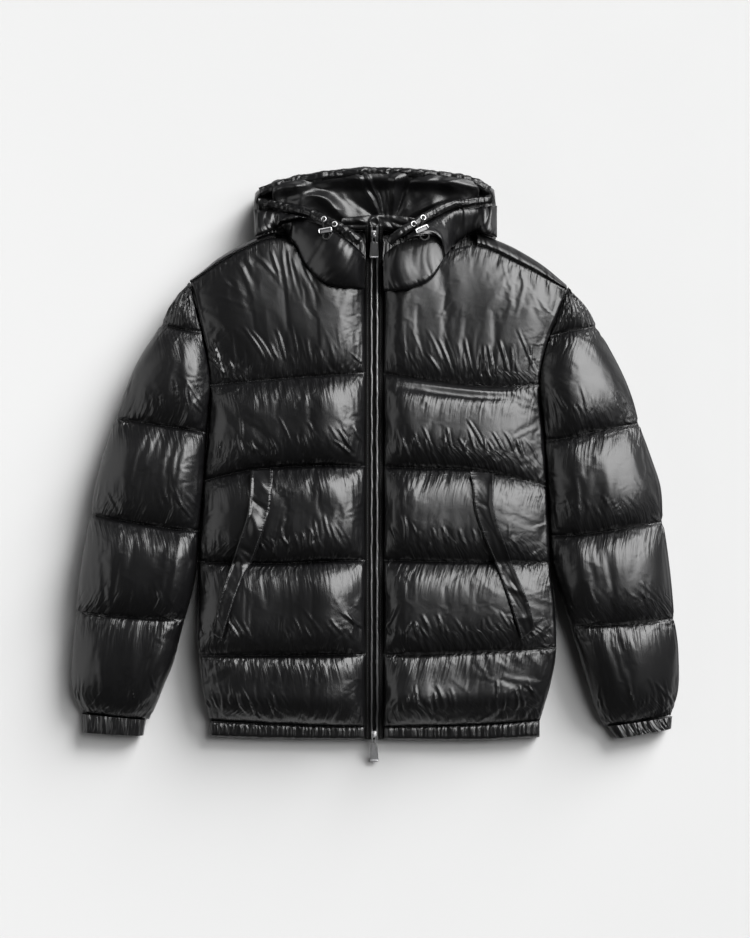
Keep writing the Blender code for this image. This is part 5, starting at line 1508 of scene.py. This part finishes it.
def makeFacing():
    t, v = sharesOf(facing["points"])
    x = mix(*facing["x"], t)
    plan = gridOf(x, mix(*facing["y"], v) - 0.006 * (2 * t - 1) ** 2 * v)
    base = restingGrid(plan, ["hood_lining", "hood_crown"], 0.004, 5)
    loop = np.abs(np.hypot((x - facing["loop"][0]) / 0.008, (v - facing["loop"][1]) / 0.5) - 0.75)
    folded = 2 * np.abs(noise(x / 0.011 + 1.5 * v, v * 1.6, 760)) - 0.6
    bend = facing["bend"] * (hill(loop, 0.25) + folded * arch(v, 0.7))
    z = base + 0.0015 + np.maximum(curveAt(facing["profile"], v) + bend, 0.0005)
    piece = padPiece("neck_facing", atHeight(plan, z), atHeight(plan, base), finish["facing"], 0.4,
                     keep=["hood_facing"])
    settle(piece, "lining", "hood_facing")


makeFacing()

# Lower and upper outline as (x, y), then the upper outline's height where it is free.
drapes = {
    "chin_right": (
        ((-0.1370, 0.3470), (-0.1260, 0.3340), (-0.1120, 0.3160), (-0.1030, 0.2960),
         (-0.0880, 0.2770), (-0.0720, 0.2640), (-0.0490, 0.2570), (-0.0148, 0.2565)),
        ((-0.1355, 0.3500, 0.0560), (-0.1110, 0.3550, 0.0590), (-0.0920, 0.3530, 0.0650),
         (-0.0755, 0.3460, 0.0722), (-0.0625, 0.3394, 0.0782), (-0.0462, 0.3290, 0.0812),
         (-0.0300, 0.3170, 0.0780), (-0.0148, 0.3040, 0.0620)),
    ),
    "chin_left": (
        ((0.1000, 0.3000), (0.0900, 0.2810), (0.0790, 0.2680), (0.0540, 0.2560), (0.0340, 0.2530),
         (0.0126, 0.2525)),
        ((0.0960, 0.3180, 0.0720), (0.0850, 0.3290, 0.0760), (0.0640, 0.3260, 0.0800),
         (0.0430, 0.3215, 0.0825), (0.0270, 0.3150, 0.0810), (0.0126, 0.3040, 0.0720)),
    ),
    "hood_side_right": (
        ((-0.1730, 0.3315), (-0.1580, 0.3370), (-0.1420, 0.3445), (-0.1350, 0.3516), (-0.1110, 0.3566),
         (-0.0990, 0.3556)),
        ((-0.1755, 0.3735, 0.0420), (-0.1475, 0.3703, 0.0467), (-0.1235, 0.3643, 0.0522),
         (-0.1075, 0.3600, 0.0570), (-0.0985, 0.3573, 0.0600)),
    ),
    "hood_side_left": (
        ((0.1760, 0.3315), (0.1640, 0.3350), (0.1410, 0.3392), (0.1260, 0.3300), (0.1090, 0.3150),
         (0.1005, 0.3040), (0.0970, 0.3205), (0.0855, 0.3305), (0.0640, 0.3275), (0.0430, 0.3230)),
        ((0.1765, 0.3780, 0.0420), (0.1373, 0.3738, 0.0482), (0.1155, 0.3707, 0.0542),
         (0.0945, 0.3617, 0.0620), (0.0820, 0.3540, 0.0690), (0.0718, 0.3480, 0.0735),
         (0.0600, 0.3395, 0.0785), (0.0430, 0.3285, 0.0812)),
    ),
}
# name: (columns, rows, thickness, swell, more of it at the last end, lip, share over which that end falls, seed)
drapeSizes = {
    "chin_right": (110, 60, 0.026, 0.013, 0.012, 0.0, 0.36, 800),
    "chin_left": (90, 50, 0.026, -0.002, 0.0, 0.009, 0.10, 810),
    "hood_side_right": (90, 34, 0.022, 0.011, 0.0, 0.0, 0.12, 820),
    "hood_side_left": (140, 40, 0.022, 0.011, 0.0, 0.0, 0.12, 830),
}

drapeFolds = {
    "clear": 0.0044,         # of the lower outline over what it lies on
    "least": 0.036,
    "broad": 0.002,
    "folds": 0.0026,
    "fine": 0.0010,
    "hood": (1.5, 0.0016),   # how much deeper the folds of the hood's sides are, and the height of its own
    "nearEdge": {"hood": 0.30, "chin": 0.07},   # how strong the folds stay away from the edges
    "gap": {"hood": 2, "chin": 5},
    "passes": {"chin_right": 6, "chin_left": 6, "hood_side_right": 6, "hood_side_left": 24},
}


def makeDrapes():
    for name, (lower, upper) in drapes.items():
        columns, rows, thickness, swell, more, lip, fall, seed = drapeSizes[name]
        kind, side = name.partition("_")[0], name.rpartition("_")[2]
        below = ["back", f"front_{side}", f"yoke_{side}", "hood_crown", "hood_lining"]
        if kind == "hood":
            below.append(f"chin_{side}")
        u, v = closerAtEnds(columns), closerAtEnds(rows)[:, None]
        a, b = pathAt(lower, u), pathAt(upper, u)
        rest = np.array([restingHeight(x, y, below) for x, y in a]) + drapeFolds["clear"]
        rest = easeLine(rest, drapeFolds["passes"][name])
        a = np.column_stack([a, np.maximum(rest, drapeFolds["least"]) + lip])
        grid = mix(a[None], b[None], v[..., None])
        ends = roundIn(u, 0.12) * roundIn(1 - u, fall)
        z = grid[..., 2] + (swell + more * u**2) * puff(v, 2.6) * ends - lip * (1 - roundIn(v, 0.16))
        bottom = np.maximum(restingGrid(grid, below, 0.005, 4), z - thickness)
        top = atHeight(grid, np.maximum(z, bottom + 0.002))
        s, d = np.moveaxis(flatPlaces(top), -1, 0)
        folds = (2 * np.abs(noise(s / 0.010 + d * 20, d / 0.05, seed)) - 0.6) * drapeFolds["folds"]
        folds = folds + noise(s / 0.005 + d * 30, d / 0.03, seed + 1) * drapeFolds["fine"]
        if kind == "hood":
            deeper, own = drapeFolds["hood"]
            folds = folds * deeper + own * noise(s / 0.018 - d * 14, d / 0.04, seed + 3)
        nearEdge = np.exp(-np.minimum(v, 1 - v) / 0.11) + drapeFolds["nearEdge"][kind]
        folds = (folds * nearEdge + drapeFolds["broad"] * noise(s / 0.04, d / 0.04, seed + 2)) * arch(v, 0.5) * ends
        normal = normalsOf(top)
        normal *= np.sign(normal[..., 2:].mean())
        top = top + normal * folds[..., None]
        top[..., 2] = np.maximum(top[..., 2], bottom + 0.001)
        gap = np.clip(drapeFolds["gap"][kind] * np.minimum(v, 1 - v), 0, 1)
        piece = padPiece(f"{name}_flap", top, atHeight(grid, bottom), finish["shell"], gap, keep=[name])
        settle(piece, "shell", name, fill=0.6)


makeDrapes()
report("hood made")

casing = {
    "depth": 0.0115,
    "round": 20,             # points round the tunnel
    "top": ((-0.1650, 0.3960, 0.0570), (-0.1410, 0.4050, 0.0600), (-0.1130, 0.4120, 0.0630),
            (-0.0770, 0.4178, 0.0650), (-0.0400, 0.4222, 0.0660), (0.0, 0.4240, 0.0660),
            (0.0540, 0.4220, 0.0660), (0.1090, 0.4165, 0.0635), (0.1450, 0.4085, 0.0600),
            (0.1645, 0.3985, 0.0570)),
    "right": ((-0.1675, 0.3830, 0.0500), (-0.1460, 0.3785, 0.0545), (-0.1210, 0.3720, 0.0600),
              (-0.0960, 0.3650, 0.0690), (-0.0720, 0.3530, 0.0800), (-0.0590, 0.3462, 0.0860),
              (-0.0420, 0.3360, 0.0890), (-0.0290, 0.3270, 0.0880), (-0.0220, 0.3205, 0.0850)),
    "left": ((0.1675, 0.3870, 0.0500), (0.1360, 0.3815, 0.0560), (0.1120, 0.3780, 0.0620),
             (0.0910, 0.3685, 0.0700), (0.0680, 0.3548, 0.0815), (0.0560, 0.3462, 0.0865),
             (0.0390, 0.3355, 0.0890), (0.0265, 0.3265, 0.0880), (0.0200, 0.3205, 0.0850)),
    # (rings, half width, height of the gathers, their pitch, seed)
    "gather": {
        "top": (330, 0.00700, 0.0027, 0.0085, 840),
        "right": (190, 0.00665, 0.0017, 0.0052, 850),
        "left": (190, 0.00665, 0.0017, 0.0052, 860),
    },
}


def makeCasings():
    turns = np.arange(casing["round"]) * math.tau / casing["round"]
    for name, (count, halfWidth, gather, pitch, seed) in casing["gather"].items():
        path = pathAt(casing[name], evenShares(count))
        _, across, up = directionsAlong(np.gradient(path, axis=0))
        s = np.cumsum(np.linalg.norm(np.diff(path, axis=0, prepend=path[:1]), axis=1))[:, None]
        lean = 0.5 * np.sin(turns + 1) + 0.6 * noise(s / 0.02, np.cos(turns) * 1.5 + 2, seed + 4)
        swell = gather * gathers(s, lean, seed, pitch)
        wide, deep = halfWidth + 0.6 * swell, casing["depth"] / 2 + swell
        grid = (path[:, None] + across[:, None] * (np.cos(turns) * wide)[..., None]
                + up[:, None] * (np.sin(turns) * deep)[..., None])
        piece = ringPiece(f"drawcord_tunnel_{name}", grid, finish["shell"], keep=[f"casing_{name}"])
        settle(piece, "shell", f"casing_{name}", fill=0.5)


makeCasings()
report("drawcord tunnels made")

hardware = {
    "eyelets": {"right": (0.640, 0.744), "left": (0.751, 0.657)},
    "ring": 0.0034,
    "wire": 0.0007,
    "bar": 0.0008,
    "lockPlace": {"right": ((-0.0700, 0.3363, 0.0890), 9.0, 14.0, -17.0),
                  "left": ((0.0660, 0.3385, 0.0900), 25.5, -16.0, 0.0)},
    "lockHeight": 0.0052,
    "barShift": 0.00216,     # how far the bar lies from the block's middle
    "barLength": 0.0185,
    "barHook": 0.0045,
    "barBend": 0.0007,
    "clear": 0.0004,
    "ringPoints": (36, 12),
    "softening": {"lock": 0.0004, "metal": 0.00022},
}


def softEdges(name, node, material, slot, onBody=body):
    # a copy of a node with rounded edges
    mesh = frame["nodes"][node].data.copy()
    mesh.name = name
    piece = addObject(name, mesh)
    withSettings(piece.modifiers.new("weld", "WELD"), merge_threshold=0.00001)
    withSettings(piece.modifiers.new("flatten", "DECIMATE"), decimate_type="DISSOLVE", angle_limit=math.radians(2))
    withSettings(piece.modifiers.new("bevel", "BEVEL"), width=hardware["softening"][slot], segments=3,
                 limit_method="ANGLE", angle_limit=math.radians(28), use_clamp_overlap=True)
    done = bpy.data.meshes.new_from_object(piece.evaluated_get(bpy.context.evaluated_depsgraph_get()))
    piece.modifiers.clear()
    piece.data = done
    done.materials.clear()
    done.materials.append(material)
    done.shade_smooth()
    done.set_sharp_from_angle(angle=math.radians(40))
    return settle(piece, slot, node, onBody=onBody)


def makeEyelet(side, which, share):
    behind, middle, ahead = pathAt(casing[side], [share - 0.01, share, min(1, share + 0.01)])
    tangent, across, up = directionsAlong(ahead - behind)
    flatTop = casing["depth"] / 2 * math.sin(math.tau / 6) * 1.07
    middle = middle + up * (flatTop + hardware["clear"] + hardware["wire"])
    turns, around = (np.arange(count)[:, None] * math.tau / count for count in hardware["ringPoints"])
    out = (np.cos(turns) * across + np.sin(turns) * tangent)[:, None]
    wire = hardware["wire"] * (np.cos(around) * out + np.sin(around) * up)
    piece = loopPiece(f"eyelet_{side}_{which}_ring", middle + hardware["ring"] * out + wire, finish["bright"])
    settle(piece, "bright_metal", f"eyelet_{side}_{which}")


def makeLock(side):
    # a block that the cord runs through, with a bent bar over it
    place, turn, tilt, roll = hardware["lockPlace"][side]
    matrix = Matrix.Translation(place) @ Matrix.Rotation(math.radians(turn), 4, "Z")
    matrix = matrix @ Matrix.Rotation(-math.radians(tilt), 4, "Y") @ Matrix.Rotation(math.radians(roll), 4, "X")
    above = hardware["lockHeight"] / 2 + hardware["clear"] + hardware["bar"]
    end, bend, hook = hardware["barLength"] / 2, hardware["barBend"], hardware["barHook"]
    local = [(-end, -hook, above - bend), (-end, -bend, above), (-end + bend, 0, above), (0, 0, above),
             (end - bend, 0, above), (end, -bend, above), (end, -hook, above - bend)]
    points = [matrix @ (Vector(p) + Vector((0, hardware["barShift"], 0))) for p in local]
    fineBar = np.concatenate([np.linspace(a, b, 7)[:-1] for a, b in zip(points, points[1:])] + [points[-1:]])
    piece = ringPiece(f"cord_lock_bar_{side}", tubeGrid(easeLine(fineBar, 2), hardware["bar"]), finish["bright"])
    settle(piece, "bright_metal", f"lock_bar_{side}")
    softEdges(f"cord_lock_{side}_block", f"cord_lock_{side}", finish["lock"], "lock")


def makeHardware():
    for side, shares in hardware["eyelets"].items():
        for which, share in zip(("outer", "inner"), sorted(shares)):
            makeEyelet(side, which, share)
        makeLock(side)
    for which in ("top", "bottom"):
        softEdges(f"slider_{which}_body", f"slider_{which}", finish["metal"], "metal")
        softEdges(f"pull_{which}_tab", f"pull_{which}", finish["metal"], "metal", f"pull_tab_{which}")


makeHardware()
report("hardware made")

stitching = {"Spacing": 0.0036, "Length": 0.0027, "Width": 0.0007, "Height": 0.0006, "Wobble": 0.15, "Seed": 7}


def makeStitches():
    piece = beadPiece("stitching", seamLines, finish["thread"], **stitching)
    settle(piece, "shell")
    print("stitches", len(piece.data.polygons), "faces")


makeStitches()

studio = {
    "world": 0.042,
    "floor": (0.372, 0.318),   # albedo far from the key light and near it, so that the floor looks even
    "floorSpan": 0.85,
    "floorReach": 6,
    "keySide": (0.82, 0.57, 0.0),
    "softboxes": {             # place, width and height, power
        "softboxRight": ((4.55, 3.45, 6.3), (7.0, 7.0), 1120),
        "wallLeft": ((-1.9, 0.0, 0.8), (2.2, 1.6), 9),
    },
    # A low light that shades the floor and makes no highlight: strength, width, height, side, degrees.
    "low": (13.5, 36, 20.5, 50),
}


def addLight(name, kind, place, **settings):
    # it shines on the middle of the floor
    light = addObject(name, withSettings(bpy.data.lights.new(name, kind), **settings))
    light.location = place
    light.rotation_euler = (-Vector(place)).to_track_quat("-Z", "Y").to_euler()
    return light


def makeFloor():
    reach = studio["floorReach"]
    mesh = bpy.data.meshes.new("floor")
    mesh.from_pydata([(-reach, -reach, 0), (reach, -reach, 0), (reach, reach, 0), (-reach, reach, 0)], [],
                     [(0, 1, 2, 3)])
    material, shader = newMaterial("paleFloor", (0.8, 0.8, 0.8), 0.6)
    tree = material.node_tree
    place = addNode(tree, "ShaderNodeTexCoord").outputs["Object"]
    roughened(tree, shader, usingGroup(tree, wearNodes, Place=place, Scale=8.0)["Cloud"], 0.58, 0.66)
    toKey = vectorNode(tree, "DOT_PRODUCT", a=place, b=studio["keySide"]).outputs["Value"]
    shade = between(tree, toKey, *studio["floor"], -studio["floorSpan"], studio["floorSpan"])
    tree.links.new(shade, shader.inputs["Base Color"])
    mesh.materials.append(material)
    floor = addObject("floor", mesh)


def makeStudio():
    makeFloor()
    world = bpy.data.worlds.new("studio")
    world.use_nodes = True
    background = world.node_tree.nodes["Background"].inputs
    background["Color"].default_value = (1, 1, 1, 1)
    background["Strength"].default_value = studio["world"]
    scene.world = world
    for name, (place, (width, height), power) in studio["softboxes"].items():
        addLight(name, "AREA", place, shape="RECTANGLE", size=width, size_y=height, energy=power)
    strength, wide, high, side = studio["low"]
    high, side = math.radians(high), math.radians(side)
    place = Vector((math.cos(side), math.sin(side), math.tan(high))) * 4
    addLight("lowLight", "SUN", place, energy=strength, angle=math.radians(wide)).visible_glossy = False


makeStudio()
report("studio made")

count = sum(len(o.data.polygons) for o in scene.objects if o.type == "MESH" and not o.hide_render)
print(count, "faces in all")
